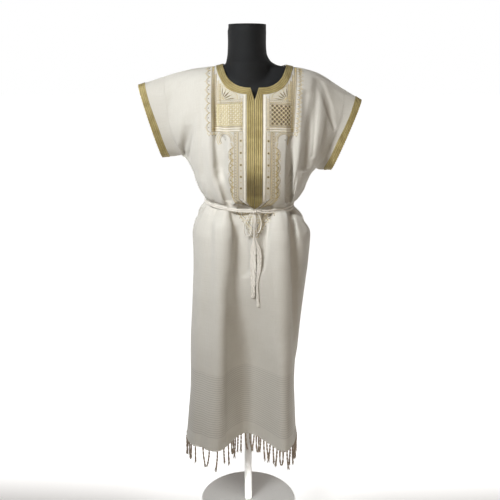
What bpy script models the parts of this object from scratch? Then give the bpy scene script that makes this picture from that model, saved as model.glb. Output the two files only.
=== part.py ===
"""Kaftan dress on a limbless dress form.

Metres, +Z up, the front faces -Y and +X is on the right of a viewer in front.
The origin is the middle of the stand's foot, on the floor.

The cloth is worked out in its own flat measures: s runs across the dress from the middle of the front or
back, and t runs down it from the shoulder seam. Cloth.at(s, t) gives the place of that bit as it hangs.
"""

import math

import bmesh
import bpy
import numpy as np
from mathutils import Vector, geometry
from mathutils.bvhtree import BVHTree

WALL = 0.0016
SEAM_GAP = 0.0005
TRIM_GAP = 0.0004
FORM_GAP = 0.0006

HALF_WIDTH = 0.260
FLAT_MIDDLE = 0.090
CENTRE_SHIFT = 0.019
HEM_Z = 0.268
BELOW_HEM = 0.018
RING_TOP_Z = 1.105
SIDE_SEAM_ANGLE = 92.0
SHOULDER_Y = 0.008
SHOULDER_FORWARD = {-1: 0.34, 1: 0.32}
SHOULDER_FALL = 0.02
RING_PULL = 0.30
SLEEVE_PULL = 0.8

BELT_Z = 1.034
BELT_RISE = 0.0085
BELT_RISE_REACH = 0.06
BELT_HEIGHT = 0.0044
BELT_THICK = 0.0028
BELT_PITCH = 0.0048
BELT_OFF = 0.0016
BELT_SPREAD = 0.0058
BELT_SPREAD_AT = 80.0
BELT_SPREAD_REACH = 45.0
BELT_END_ANGLE = 4.5
WAIST_FRONT = 0.108
KNOT_ANGLE = math.degrees(math.atan2(CENTRE_SHIFT, WAIST_FRONT))
KNOT = (0.0075, 0.0045, 0.0075)
KNOT_X = 0.018
KNOT_DROP = 0.001

NECK_HALF_WIDTH = 0.091
NECK_DEPTH = {-1: 0.131, 1: 0.046}
NECK_SQUARE = {-1: 2.8, 1: 2.2}
SLIT_DEPTH = 0.037
SLIT_HALF_WIDTH = 0.0115
BRAID_WIDTH = 0.020
BRAID_THICK = 0.0013
PLACKET_HALF_WIDTH = 0.0225
PLACKET_POINT = 0.032
PLACKET_ABOVE_BELT = 0.005

FRINGE_STRANDS = 33
FRINGE_STRIP = 0.005
FRINGE_THICK = 0.0020
FRINGE_LENGTH = 0.064
FRINGE_LENGTH_VARIES = 0.10
FRINGE_SWAY = 0.0045
STRAND_WIDTH = 0.0046
STRAND_SECTIONS = ((0.40, 0.72), (0.86, 0.95), (1.0, 0.45))

POLE_RADIUS = 0.0125
FOOT_RADIUS = 0.160
FOOT_HEIGHT = 0.010
FOOT_BEVEL = 0.003

# How near the cloth may come to the dress form, how softly it is moved off, and how far inside still counts.
FORM_BLEND = 0.004
FORM_NEAR = 0.06
FORM_INSIDE = 0.03

# Meshes: rows of a cloth's fine grid above the top body section, then the flat places of the panels' lines,
# across from the middle and down from the shoulder, and the least distance between two of them.
TOP_ROWS = 59
COLUMNS = {
    -1: (0.0225, 0.040, 0.056, 0.071, 0.086, 0.101, 0.116, 0.131, 0.147, 0.163, 0.181, 0.200, 0.220, 0.241),
    1: (0.024, 0.048, 0.070, 0.092, 0.115, 0.138, 0.162, 0.187, 0.212, 0.237),
}
TOP_STEPS = (
    *(0.006, 0.013, 0.021, 0.032, 0.046, 0.064, 0.085),
    *(0.110, 0.136, 0.162, 0.188, 0.214, 0.240, 0.268, 0.298),
)
RING_LEVELS = (
    *(1.105, 1.083, 1.062, 1.050, 1.041, 1.027, 1.019, 1.004, 0.983),
    *(0.955, 0.910, 0.855, 0.790, 0.720, 0.640, 0.550, 0.450, 0.350),
)
SLEEVE_ROWS = (0.0, 0.13, 0.30, 0.48)
NECK_STEPS = {-1: 23, 1: 15}
POINT_CLEAR = 0.0035
BELT_STEPS = 44
FORM_SIDES = 32
FORM_BETWEEN = (1.255, 1.413, 1.4325, 1.4368, 1.4410, 1.449)

# Sections of cords and ribbons, as shares of their half width and half thickness.
OVAL = ((1, 0.45), (0, 1), (-1, 0.45), (-1, -0.45), (0, -1), (1, -0.45))
FLAT = ((1, 1), (-1, 1), (-1, -1), (1, -1))

COTTON_COLOUR = (0.80, 0.77, 0.70)
GOLD_COLOUR = (0.52, 0.42, 0.17)
BELT_COLOUR = (0.83, 0.80, 0.74)
FRINGE_COLOUR = (0.72, 0.67, 0.58)
FORM_COLOUR = (0.015, 0.017, 0.022)
STAND_COLOUR = (0.85, 0.85, 0.84)


def table(columns, *rows):
    """Named columns of a table, each an array."""
    return dict(zip(columns.split(), np.array(rows, float).T))


# Body sections of the dress, outer face, from the hem up. left and right are x, front and back are y,
# and square is 2 for an ellipse and more for a squarer plan.
SECTIONS = table(
    "z     left    right  front   back   square",
    (0.250, -0.205, 0.160, -0.140, 0.134, 2.8),
    (0.330, -0.197, 0.156, -0.138, 0.132, 2.8),
    (0.450, -0.187, 0.151, -0.134, 0.130, 2.7),
    (0.600, -0.183, 0.160, -0.133, 0.130, 2.6),
    (0.750, -0.174, 0.174, -0.132, 0.132, 2.5),
    (0.870, -0.169, 0.187, -0.132, 0.132, 2.4),
    (0.945, -0.170, 0.191, -0.130, 0.128, 2.4),
    (0.983, -0.161, 0.175, -0.125, 0.116, 2.3),
    (1.004, -0.150, 0.161, -0.118, 0.106, 2.3),
    (1.019, -0.136, 0.146, -0.112, 0.097, 2.3),
    (1.027, -0.128, 0.136, -0.108, 0.092, 2.3),
    (1.041, -0.128, 0.136, -0.108, 0.092, 2.3),
    (1.050, -0.136, 0.147, -0.118, 0.098, 2.3),
    (1.062, -0.143, 0.157, -0.124, 0.103, 2.3),
    (1.085, -0.152, 0.171, -0.130, 0.109, 2.3),
    (1.105, -0.157, 0.178, -0.133, 0.112, 2.3),
)

# Shoulder line of the dress, outer face, from one sleeve seam to the other.
SHOULDERS = table(
    "x      z",
    (-0.242, 1.4110),
    (-0.204, 1.4225),
    (-0.153, 1.4335),
    (-0.118, 1.4378),
    (-0.088, 1.4412),
    (-0.072, 1.4450),
    (0.020, 1.4490),
    (0.110, 1.4425),
    (0.131, 1.4382),
    (0.157, 1.4340),
    (0.198, 1.4230),
    (0.221, 1.4120),
    (0.257, 1.3890),
    (0.280, 1.3750),
)

# Where the panels' side edges run between the shoulder and the top body section. drop is the share of the way
# down, and open is how far the edge stands forward on the front and backward on the back.
EDGE_COLUMNS = "drop x z open"
LEFT_EDGE = table(
    EDGE_COLUMNS,
    (0.000, -0.242, 1.411, 0.0000),
    (0.060, -0.243, 1.392, 0.0200),
    (0.200, -0.240, 1.350, 0.0360),
    (0.450, -0.227, 1.270, 0.0400),
    (0.620, -0.212, 1.216, 0.0280),
    (0.700, -0.203, 1.193, 0.0150),
    (0.728, -0.200, 1.185, 0.0080),
    (0.740, -0.199, 1.182, 0.0006),
    (0.790, -0.186, 1.171, 0.0004),
    (0.870, -0.171, 1.148, 0.0004),
    (0.950, -0.160, 1.121, 0.0003),
    (1.000, -0.157, 1.105, 0.0000),
)
RIGHT_EDGE = table(
    EDGE_COLUMNS,
    (0.000, 0.280, 1.375, 0.0000),
    (0.060, 0.281, 1.356, 0.0200),
    (0.200, 0.275, 1.314, 0.0360),
    (0.450, 0.252, 1.236, 0.0400),
    (0.660, 0.226, 1.176, 0.0280),
    (0.750, 0.211, 1.152, 0.0150),
    (0.778, 0.207, 1.145, 0.0080),
    (0.790, 0.205, 1.142, 0.0006),
    (0.860, 0.194, 1.131, 0.0004),
    (0.930, 0.184, 1.118, 0.0003),
    (1.000, 0.178, 1.105, 0.0000),
)
LEFT_ARM_DROP = 0.740
RIGHT_ARM_DROP = 0.790
EDGE_REACH = 0.42

# Folds down the front, seen from the front. place is the x of the fold's middle, before and after are its
# half widths on the left and right, and depth goes into the dress, so a ridge is less than zero.
FOLD_COLUMNS = "z place before after depth"
FRONT_FOLDS = {
    "centre_trough": table(
        FOLD_COLUMNS,
        (0.250, -0.008, 0.096, 0.135, 0.124),
        (0.450, -0.010, 0.090, 0.135, 0.108),
        (0.600, -0.018, 0.074, 0.135, 0.082),
        (0.720, -0.030, 0.056, 0.125, 0.054),
        (0.800, -0.038, 0.042, 0.110, 0.036),
        (0.900, -0.044, 0.026, 0.090, 0.024),
        (0.960, -0.048, 0.018, 0.064, 0.019),
        (1.010, -0.050, 0.012, 0.032, 0.015),
        (1.034, -0.050, 0.009, 0.016, 0.010),
        (1.060, -0.056, 0.015, 0.022, 0.014),
        (1.105, -0.073, 0.020, 0.030, 0.014),
    ),
    "right_ridge": table(
        FOLD_COLUMNS,
        (0.250, 0.118, 0.050, 0.044, -0.022),
        (0.600, 0.112, 0.040, 0.040, -0.012),
        (0.900, 0.100, 0.030, 0.026, -0.006),
        (1.010, 0.094, 0.022, 0.022, -0.004),
        (1.034, 0.094, 0.015, 0.015, 0.000),
    ),
    "beside_panel": table(
        FOLD_COLUMNS,
        (0.840, 0.050, 0.030, 0.028, 0.000),
        (0.930, 0.054, 0.030, 0.028, 0.006),
        (1.005, 0.056, 0.026, 0.022, 0.012),
        (1.034, 0.056, 0.018, 0.016, 0.007),
        (1.060, 0.056, 0.018, 0.018, 0.003),
        (1.105, 0.056, 0.020, 0.020, 0.000),
    ),
    "right_crease": table(
        FOLD_COLUMNS,
        (0.250, 0.156, 0.012, 0.030, 0.004),
        (0.600, 0.146, 0.012, 0.034, 0.010),
        (0.890, 0.138, 0.013, 0.032, 0.014),
        (1.000, 0.126, 0.010, 0.018, 0.018),
        (1.034, 0.119, 0.008, 0.010, 0.012),
        (1.060, 0.120, 0.012, 0.015, 0.018),
        (1.105, 0.121, 0.014, 0.018, 0.019),
    ),
    "left_soft": table(
        FOLD_COLUMNS,
        (0.250, -0.150, 0.026, 0.026, 0.010),
        (0.600, -0.140, 0.024, 0.026, 0.007),
        (0.900, -0.110, 0.020, 0.022, 0.003),
        (1.010, -0.096, 0.016, 0.016, 0.004),
        (1.034, -0.094, 0.013, 0.013, 0.006),
        (1.060, -0.098, 0.015, 0.015, 0.008),
        (1.105, -0.112, 0.016, 0.018, 0.005),
    ),
}

# Folds at the sides and back. place, before and after are degrees round from the front, towards +X.
SIDE_FOLDS = {
    "right_side_pleat": table(
        FOLD_COLUMNS,
        (0.890, 108, 14, 14, 0.000),
        (0.945, 100, 10, 14, 0.008),
        (0.985, 88, 8, 14, 0.017),
        (1.015, 74, 7, 11, 0.016),
        (1.034, 70, 7, 8, 0.010),
        (1.060, 72, 8, 9, 0.012),
        (1.105, 76, 9, 9, 0.005),
    ),
    "left_side_pleat": table(
        FOLD_COLUMNS,
        (0.890, -108, 14, 12, 0.000),
        (0.945, -100, 14, 9, 0.008),
        (0.985, -90, 15, 8, 0.016),
        (1.015, -80, 12, 7, 0.015),
        (1.034, -76, 9, 7, 0.010),
        (1.060, -76, 10, 9, 0.008),
        (1.105, -78, 10, 9, 0.003),
    ),
    "back_left": table(
        FOLD_COLUMNS,
        (0.250, -142, 24, 22, 0.040),
        (0.500, -144, 22, 20, 0.032),
        (0.760, -147, 16, 14, 0.018),
        (0.930, -149, 11, 9, 0.012),
        (1.034, -151, 7, 7, 0.010),
        (1.105, -149, 12, 12, 0.010),
    ),
    "back_middle": table(
        FOLD_COLUMNS,
        (0.250, 176, 17, 16, 0.026),
        (0.500, 177, 15, 15, 0.022),
        (0.760, 178, 11, 12, 0.014),
        (0.930, 179, 9, 9, 0.011),
        (1.034, 180, 7, 7, 0.010),
        (1.105, 180, 12, 12, 0.008),
    ),
    "back_right": table(
        FOLD_COLUMNS,
        (0.250, 136, 22, 20, 0.038),
        (0.500, 140, 20, 19, 0.030),
        (0.760, 144, 14, 14, 0.018),
        (0.930, 148, 10, 9, 0.012),
        (1.034, 151, 7, 7, 0.010),
        (1.105, 149, 12, 12, 0.010),
    ),
}

# Soft troughs across the top of the dress, each along a straight line seen from the front. left and right are
# the half widths on the two sides of the line, and top and low the depths at its two ends.
CREASE_COLUMNS = "x0 z0 x1 z1 left right top low"
FRONT_CREASES = table(
    CREASE_COLUMNS,
    (-0.155, 1.290, -0.174, 1.180, 0.050, 0.010, 0.004, 0.030),
    (-0.074, 1.250, -0.090, 1.090, 0.018, 0.032, 0.000, 0.014),
    (-0.128, 1.230, -0.132, 1.090, 0.016, 0.014, 0.000, 0.008),
    (0.198, 1.398, 0.163, 1.160, 0.020, 0.022, 0.006, 0.018),
    (0.212, 1.392, 0.262, 1.245, 0.016, 0.014, 0.006, 0.008),
    (0.119, 1.246, 0.120, 1.060, 0.014, 0.016, 0.000, 0.020),
    (0.150, 1.206, 0.141, 1.060, 0.014, 0.014, 0.000, 0.010),
    (-0.214, 1.412, -0.232, 1.330, 0.014, 0.018, 0.003, 0.008),
)
BACK_CREASES = table(
    CREASE_COLUMNS,
    (-0.160, 1.290, -0.178, 1.180, 0.044, 0.016, 0.004, 0.022),
    (0.165, 1.290, 0.186, 1.150, 0.016, 0.044, 0.004, 0.022),
    (-0.204, 1.400, -0.200, 1.240, 0.018, 0.018, 0.006, 0.010),
    (0.204, 1.396, 0.206, 1.220, 0.018, 0.018, 0.006, 0.012),
)

# Ends of each sleeve: the cuff's top and bottom.
CUFF_COLUMNS = "x y z"
LEFT_CUFF = table(CUFF_COLUMNS, (-0.321, 0.006, 1.386), (-0.256, 0.000, 1.176))
RIGHT_CUFF = table(CUFF_COLUMNS, (0.334, 0.006, 1.343), (0.250, 0.000, 1.139))
CUFF_OPEN = 0.038

# The belt's bow in front of the dress. out is how far the middle of the cord is off the cloth.
BOW_COLUMNS = "x z out wide thick"
LEFT_LOOP = table(
    BOW_COLUMNS,
    (0.0092, 1.0310, 0.0084, 0.0016, 0.0011),
    (0.0000, 1.0170, 0.0062, 0.0018, 0.0012),
    (-0.0095, 0.9990, 0.0044, 0.0020, 0.0012),
    (-0.0122, 0.9810, 0.0040, 0.0020, 0.0012),
    (-0.0050, 0.9640, 0.0040, 0.0020, 0.0012),
    (0.0060, 0.9680, 0.0042, 0.0020, 0.0012),
    (0.0108, 0.9880, 0.0046, 0.0018, 0.0012),
    (0.0126, 1.0100, 0.0062, 0.0016, 0.0011),
    (0.0138, 1.0249, 0.0088, 0.0014, 0.0009),
)
RIGHT_LOOP = table(
    BOW_COLUMNS,
    (0.0268, 1.0310, 0.0084, 0.0016, 0.0011),
    (0.0340, 1.0180, 0.0062, 0.0018, 0.0012),
    (0.0385, 1.0010, 0.0044, 0.0020, 0.0012),
    (0.0365, 0.9850, 0.0040, 0.0020, 0.0012),
    (0.0290, 0.9740, 0.0040, 0.0020, 0.0012),
    (0.0245, 0.9860, 0.0044, 0.0018, 0.0012),
    (0.0232, 1.0060, 0.0062, 0.0016, 0.0011),
    (0.0222, 1.0249, 0.0088, 0.0014, 0.0009),
)
LEFT_END = table(
    BOW_COLUMNS,
    (0.0166, 1.0249, 0.0088, 0.0011, 0.0009),
    (0.0165, 1.0050, 0.0040, 0.0013, 0.0008),
    (0.0165, 0.9650, 0.0030, 0.0014, 0.0008),
    (0.0160, 0.9450, 0.0034, 0.0040, 0.0008),
    (0.0155, 0.9200, 0.0038, 0.0085, 0.0007),
    (0.0150, 0.8600, 0.0040, 0.0090, 0.0007),
    (0.0145, 0.8300, 0.0040, 0.0080, 0.0007),
    (0.0150, 0.8000, 0.0042, 0.0068, 0.0007),
    (0.0140, 0.7680, 0.0045, 0.0066, 0.0007),
)
RIGHT_END = table(
    BOW_COLUMNS,
    (0.0195, 1.0249, 0.0088, 0.0011, 0.0009),
    (0.0198, 1.0050, 0.0040, 0.0012, 0.0008),
    (0.0200, 0.9650, 0.0030, 0.0012, 0.0008),
    (0.0265, 0.9440, 0.0030, 0.0030, 0.0008),
    (0.0325, 0.9180, 0.0034, 0.0062, 0.0007),
    (0.0330, 0.8850, 0.0036, 0.0066, 0.0007),
    (0.0300, 0.8480, 0.0036, 0.0052, 0.0007),
    (0.0272, 0.8200, 0.0038, 0.0034, 0.0007),
    (0.0280, 0.7800, 0.0042, 0.0038, 0.0007),
    (0.0305, 0.7390, 0.0045, 0.0056, 0.0007),
)

# Sections of the dress form under the cloth. left and right are x, front and back are y.
FORM = table(
    "z       left    right   front    back    square",
    (0.7900, -0.1400, 0.1400, -0.0860, 0.0920, 2.2),
    (0.8000, -0.1500, 0.1500, -0.0940, 0.1020, 2.2),
    (0.8600, -0.1580, 0.1580, -0.1020, 0.1120, 2.2),
    (0.9200, -0.1520, 0.1520, -0.1030, 0.1080, 2.2),
    (0.9800, -0.1340, 0.1340, -0.0950, 0.0940, 2.2),
    (1.0360, -0.1120, 0.1120, -0.0880, 0.0780, 2.2),
    (1.1000, -0.1220, 0.1220, -0.0980, 0.0840, 2.2),
    (1.1700, -0.1340, 0.1340, -0.1120, 0.0920, 2.2),
    (1.2250, -0.1420, 0.1420, -0.1180, 0.0970, 2.2),
    (1.2900, -0.1540, 0.1540, -0.1020, 0.0980, 2.3),
    (1.3450, -0.1740, 0.1740, -0.0780, 0.0900, 2.4),
    (1.3850, -0.1850, 0.1850, -0.0600, 0.0700, 2.4),
    (1.4060, -0.1890, 0.1890, -0.0450, 0.0540, 2.3),
    (1.4200, -0.1770, 0.1830, -0.0340, 0.0450, 2.2),
    (1.4300, -0.1380, 0.1540, -0.0280, 0.0430, 2.1),
    (1.4350, -0.1030, 0.1260, -0.0275, 0.0430, 2.0),
    (1.4387, -0.0785, 0.1035, -0.0330, 0.0435, 2.0),
    (1.4435, -0.0670, 0.0830, -0.0450, 0.0440, 2.0),
    (1.4560, -0.0620, 0.0640, -0.0640, 0.0440, 2.0),
    (1.4750, -0.0590, 0.0545, -0.0670, 0.0440, 2.0),
    (1.5100, -0.0575, 0.0510, -0.0680, 0.0440, 2.0),
    (1.5350, -0.0580, 0.0515, -0.0680, 0.0440, 2.0),
    (1.5480, -0.0540, 0.0460, -0.0620, 0.0390, 2.0),
    (1.5550, -0.0420, 0.0340, -0.0500, 0.0270, 2.0),
)
FORM_BOTTOM_Z = 0.790

# The front of the dress form's neck, where it runs down into the chest between the shoulders.
NECK_ROOT = table(
    "z       left    right   front    back",
    (1.3300, -0.0700, 0.0700, -0.0600, 0.0100),
    (1.3850, -0.0700, 0.0700, -0.0622, 0.0100),
    (1.4200, -0.0680, 0.0690, -0.0635, 0.0100),
    (1.4387, -0.0650, 0.0670, -0.0640, 0.0100),
    (1.4560, -0.0600, 0.0610, -0.0640, 0.0100),
    (1.4750, -0.0560, 0.0520, -0.0635, 0.0100),
)
ROOT_BLEND = 60


def smooth(keys, values, at):
    """A smooth line through a table's rows that never swings past them."""
    at = np.clip(np.asarray(at, float), keys[0], keys[-1])
    step = np.diff(keys)
    rise = np.diff(values) / step
    slope = np.zeros(len(keys))
    slope[0], slope[-1] = rise[0], rise[-1]
    product = rise[:-1] * rise[1:]
    total = np.where(product > 0, rise[:-1] + rise[1:], 1.0)
    slope[1:-1] = np.where(product > 0, 2 * product / total, 0.0)
    i = np.clip(np.searchsorted(keys, at, side="right") - 1, 0, len(keys) - 2)
    u = (at - keys[i]) / step[i]
    return (
        values[i] * (1 + 2 * u) * (1 - u) ** 2
        + slope[i] * step[i] * u * (1 - u) ** 2
        + values[i + 1] * u * u * (3 - 2 * u)
        + slope[i + 1] * step[i] * u * u * (u - 1)
    )


def column(rows, name, at, key="z"):
    return smooth(rows[key], rows[name], at)


def lobe(distance):
    """1 in the middle of a fold, 0 from its edge on."""
    return np.where(np.abs(distance) < 1, np.cos(distance * math.pi / 2) ** 2, 0.0)


def ease(share):
    share = np.clip(share, 0, 1)
    return share * share * (3 - 2 * share)


def unit(vectors):
    return vectors / np.linalg.norm(vectors, axis=-1)[..., None]


def squared_ring(angle, rows, level):
    """Plan of a table's section: x and y at an angle in degrees round from the front, towards +X."""
    names = "left right front back square".split()
    left, right, front, back, square = (column(rows, name, level) for name in names)
    turn = np.radians(angle)
    across, ahead = np.sin(turn), np.cos(turn)
    x = np.abs(across) ** (2 / square) * np.where(across < 0, left, right)
    y = np.abs(ahead) ** (2 / square) * np.where(ahead > 0, front, back)
    return x, y


def belt_lift(angle):
    """How much higher the belt is at an angle than at the front."""
    turn = np.radians(angle)
    return BELT_RISE * (1 - np.cos(turn) - np.sin(turn))


def body_ring(angle, level, folded=True):
    """Places round the dress's outer face below the arms, on the section for a level that the belt lifts."""
    z = level + belt_lift(angle) * np.exp(-(((level - BELT_Z) / BELT_RISE_REACH) ** 2))
    x, y = squared_ring(angle, SECTIONS, level)
    if not folded:
        return np.stack([x, y, z], -1)
    radius = np.hypot(x, y)
    dent = np.zeros_like(radius)
    for fold in SIDE_FOLDS.values():
        away = (angle - column(fold, "place", level) + 180) % 360 - 180
        wide = np.where(away < 0, column(fold, "before", level), column(fold, "after", level))
        dent = dent + column(fold, "depth", level) * lobe(away / wide)
    x, y = x * (1 - dent / radius), y * (1 - dent / radius)
    in_front = ease(-y / 0.05)
    for fold in FRONT_FOLDS.values():
        away = x - column(fold, "place", level)
        wide = np.where(away < 0, column(fold, "before", level), column(fold, "after", level))
        y = y + column(fold, "depth", level) * lobe(away / wide) * in_front
    return np.stack([x, y, z], -1)


def crease_depth(creases, x, z):
    """Depth at (x, z) of all the creases together."""
    depth = np.zeros_like(x)
    for x0, z0, x1, z1, left, right, top, low in zip(*(creases[name] for name in CREASE_COLUMNS.split())):
        run, fall = x1 - x0, z1 - z0
        length = math.hypot(run, fall)
        share = ((x - x0) * run + (z - z0) * fall) / length**2
        along = np.clip(share, 0, 1)
        aside = ((x - x0) * fall - (z - z0) * run) / length
        beyond = (share - along) * length
        away = np.hypot(aside / np.where(aside > 0, left, right), beyond * 2 / (left + right))
        depth = depth + (top + (low - top) * ease(along)) * lobe(away)
    return depth


def form_rings(heights, sides):
    turn = np.linspace(0, 360, sides, endpoint=False)
    rings = []
    for z in heights:
        x, y = squared_ring(turn, FORM, z)
        reach = np.hypot(x, y)
        wide = np.where(x < 0, column(NECK_ROOT, "left", z), column(NECK_ROOT, "right", z))
        deep = np.where(y < 0, column(NECK_ROOT, "front", z), column(NECK_ROOT, "back", z))
        root = 1 / np.hypot(x / reach / wide, y / reach / deep)
        grown = (1 + (root / reach) ** ROOT_BLEND) ** (1 / ROOT_BLEND)
        rings.append(np.stack([x * grown, y * grown, np.full(sides, z)], 1))
    return np.array(rings)


def ring_faces(count, sides):
    return [
        [i * sides + j, i * sides + (j + 1) % sides, (i + 1) * sides + (j + 1) % sides, (i + 1) * sides + j]
        for i in range(count - 1)
        for j in range(sides)
    ]


def form_tree():
    """The smooth dress form, to find what is near it."""
    even = [np.arange(FORM_BOTTOM_Z, 1.40, 0.02), np.arange(1.40, 1.55, 0.003)]
    heights = np.unique(np.concatenate([FORM["z"], *even]))
    rings = form_rings(heights, 72)
    faces = ring_faces(len(heights), 72)
    return BVHTree.FromPolygons([tuple(p) for p in rings.reshape(-1, 3)], faces)


def keep_off(points, tree, least):
    """The points, moved out of the form and off it where they come nearer than least."""
    moved = points.reshape(-1, 3).copy()
    for i, place in enumerate(moved):
        near, normal, _, away = tree.find_nearest(Vector(place), FORM_NEAR)
        if near is None or place[2] < FORM_BOTTOM_Z:
            continue
        out = away if (Vector(place) - near).dot(normal) * outward_sign(near, normal) > 0 else -away
        if out < -FORM_INSIDE or out > least + FORM_BLEND:
            continue
        share = min(max(0.5 + 0.5 * (least - out) / FORM_BLEND, 0.0), 1.0)
        target = out + (least - out) * share + FORM_BLEND * share * (1 - share)
        moved[i] = place + np.array(normal * outward_sign(near, normal)) * (target - out)
    return moved.reshape(points.shape)


def outward_sign(near, normal):
    """1 when the normal of a face of the form points away from its middle."""
    middle = Vector((0.0, 0.0, min(near.z, 1.40)))
    return 1.0 if (near - middle).dot(normal) > 0 else -1.0


class Cloth:
    """A fine grid of places on hanging cloth. Its rows are at flat distances t and its columns at s."""

    def __init__(self, points, s, t, side, wraps=False):
        self.points, self.s, self.t, self.wraps = points, s, t, wraps
        grid = np.concatenate([points[:, -2:-1], points, points[:, 1:2]], 1) if wraps else points
        down = np.gradient(grid, axis=0)
        across = np.gradient(grid, axis=1)
        if wraps:
            down, across = down[:, 1:-1], across[:, 1:-1]
        self.normals = unit(np.cross(across, down) * side)

    def sample(self, grid, s, t):
        s, t = np.broadcast_arrays(np.asarray(s, float), np.asarray(t, float))
        a = np.clip(np.interp(s, self.s, np.arange(len(self.s))), 0, len(self.s) - 1.0001)
        b = np.clip(np.interp(t, self.t, np.arange(len(self.t))), 0, len(self.t) - 1.0001)
        i, j = a.astype(int), b.astype(int)
        u, v = (a - i)[..., None], (b - j)[..., None]
        top = grid[j, i] * (1 - u) + grid[j, i + 1] * u
        low = grid[j + 1, i] * (1 - u) + grid[j + 1, i + 1] * u
        return top * (1 - v) + low * v

    def at(self, s, t, out=0.0):
        """Place of flat point (s, t), moved out from the cloth's outer face."""
        return self.sample(self.points, s, t) + out * unit(self.sample(self.normals, s, t))


def spread(s, left, right):
    """Length along a row for flat measure s: the middle keeps its size and the sides share the rest."""
    whole = np.where(s < 0, left, right)
    outer = FLAT_MIDDLE + (np.abs(s) - FLAT_MIDDLE) * (whole - FLAT_MIDDLE) / (HALF_WIDTH - FLAT_MIDDLE)
    return np.sign(s) * np.where(np.abs(s) < FLAT_MIDDLE, np.abs(s), outer)


def ring_rows(side, s, levels):
    """Rows of places round the front or back of the body."""
    rows = []
    limit = SIDE_SEAM_ANGLE if side < 0 else 180 - SIDE_SEAM_ANGLE
    turn = np.linspace(-limit, limit, 721)
    near = np.abs(turn) < 40
    for level in levels:
        ring = body_ring(turn if side < 0 else 180 - turn, np.full(turn.shape, level))
        length = np.concatenate([[0.0], np.cumsum(np.linalg.norm(np.diff(ring, axis=0), axis=1))])
        length -= np.interp(CENTRE_SHIFT, ring[near, 0], length[near])
        wanted = spread(s, -length[0], length[-1])
        rows.append(np.stack([np.interp(wanted, length, ring[:, i]) for i in range(3)], 1))
    return np.array(rows)


def edge_line(rows, drop, side):
    """Places down a panel's side edge, where drop is the share of the way from the shoulder."""
    opened = SHOULDER_Y * (1 - drop) + side * column(rows, "open", drop, "drop")
    return np.stack([column(rows, "x", drop, "drop"), opened, column(rows, "z", drop, "drop")], -1)


def top_rows(side, s, count, ring, below):
    """Rows of places from the shoulder line down to the top body section."""
    drop = np.linspace(0, 1, count)[:-1, None, None]
    x = s + CENTRE_SHIFT
    start = np.stack([x, np.full(x.shape, SHOULDER_Y), column(SHOULDERS, "z", x, "x")], 1)
    forward = np.full(x.shape, side * SHOULDER_FORWARD[side])
    leave = np.stack([np.zeros_like(x), forward, np.full(x.shape, -SHOULDER_FALL)], 1)
    arrive = unit(below - ring) * RING_PULL
    curve = (
        start * (1 + 2 * drop) * (1 - drop) ** 2
        + leave * drop * (1 - drop) ** 2
        + ring * drop**2 * (3 - 2 * drop)
        + arrive * drop**2 * (drop - 1)
    )
    share = np.abs(s) / HALF_WIDTH
    pull = ease((share - 1 + EDGE_REACH) / EDGE_REACH)
    drop = drop[:, 0, 0]
    for rows, end, on_side in ((LEFT_EDGE, 0, s < 0), (RIGHT_EDGE, -1, s > 0)):
        gap = edge_line(rows, drop, side) - curve[:, end]
        curve = curve + np.where(on_side, pull, 0.0)[None, :, None] * gap[:, None, :]
    creases = FRONT_CREASES if side < 0 else BACK_CREASES
    fade = ease(drop * 6)[:, None] * ease((1 - drop) * 7)[:, None] * (1 - pull**6)
    curve[..., 1] -= side * crease_depth(creases, curve[..., 0], curve[..., 2]) * fade
    return curve


def body_cloth(side, tree):
    """The front (side -1) or back (side 1) of the dress as it hangs."""
    s = np.linspace(-HALF_WIDTH, HALF_WIDTH, 131)
    hips = SECTIONS["z"][6]
    lowest = HEM_Z - BELOW_HEM
    levels = np.concatenate([np.linspace(RING_TOP_Z, hips, 36)[:-1], np.linspace(hips, lowest, 72)])
    rings = ring_rows(side, s, levels)
    tops = top_rows(side, s, TOP_ROWS + 1, rings[0], rings[1])
    points = keep_off(np.concatenate([tops, rings]), tree, WALL + FORM_GAP)
    steps = np.linalg.norm(np.diff(points, axis=0), axis=2)
    t = np.concatenate([[0.0], np.cumsum(steps[:, (np.abs(s) > 0.03) & (np.abs(s) < 0.09)].mean(axis=1))])
    made = Cloth(points, s, t, side)
    made.side = side
    made.levels = levels
    made.arm = {-1: float(t[int(LEFT_ARM_DROP * TOP_ROWS)]), 1: float(t[int(RIGHT_ARM_DROP * TOP_ROWS)])}
    return made


def t_at_level(cloth, level):
    """Flat distance from the shoulder to a level of the body sections."""
    return float(np.interp(-level, -cloth.levels, cloth.t[TOP_ROWS:]))


def t_at_height(cloth, s, z):
    """Flat distance from the shoulder to height z at s."""
    heights = cloth.sample(cloth.points, np.full(len(cloth.t), s), cloth.t)[:, 2]
    return float(np.interp(-z, -heights, cloth.t))


def join_normals(front, back):
    """Give the front and back the same normals where they are sewn together."""
    both = unit(front.normals[0] + back.normals[0])
    front.normals[0] = back.normals[0] = both
    rows = np.arange(len(front.t))
    for end, drop in ((0, LEFT_ARM_DROP), (-1, RIGHT_ARM_DROP)):
        share = ease((rows / TOP_ROWS - drop + 0.22) / 0.20)[:, None]
        both = unit(front.normals[:, end] + back.normals[:, end])
        for cloth in (front, back):
            cloth.normals[:, end] = unit(cloth.normals[:, end] * (1 - share) + both * share)


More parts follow.
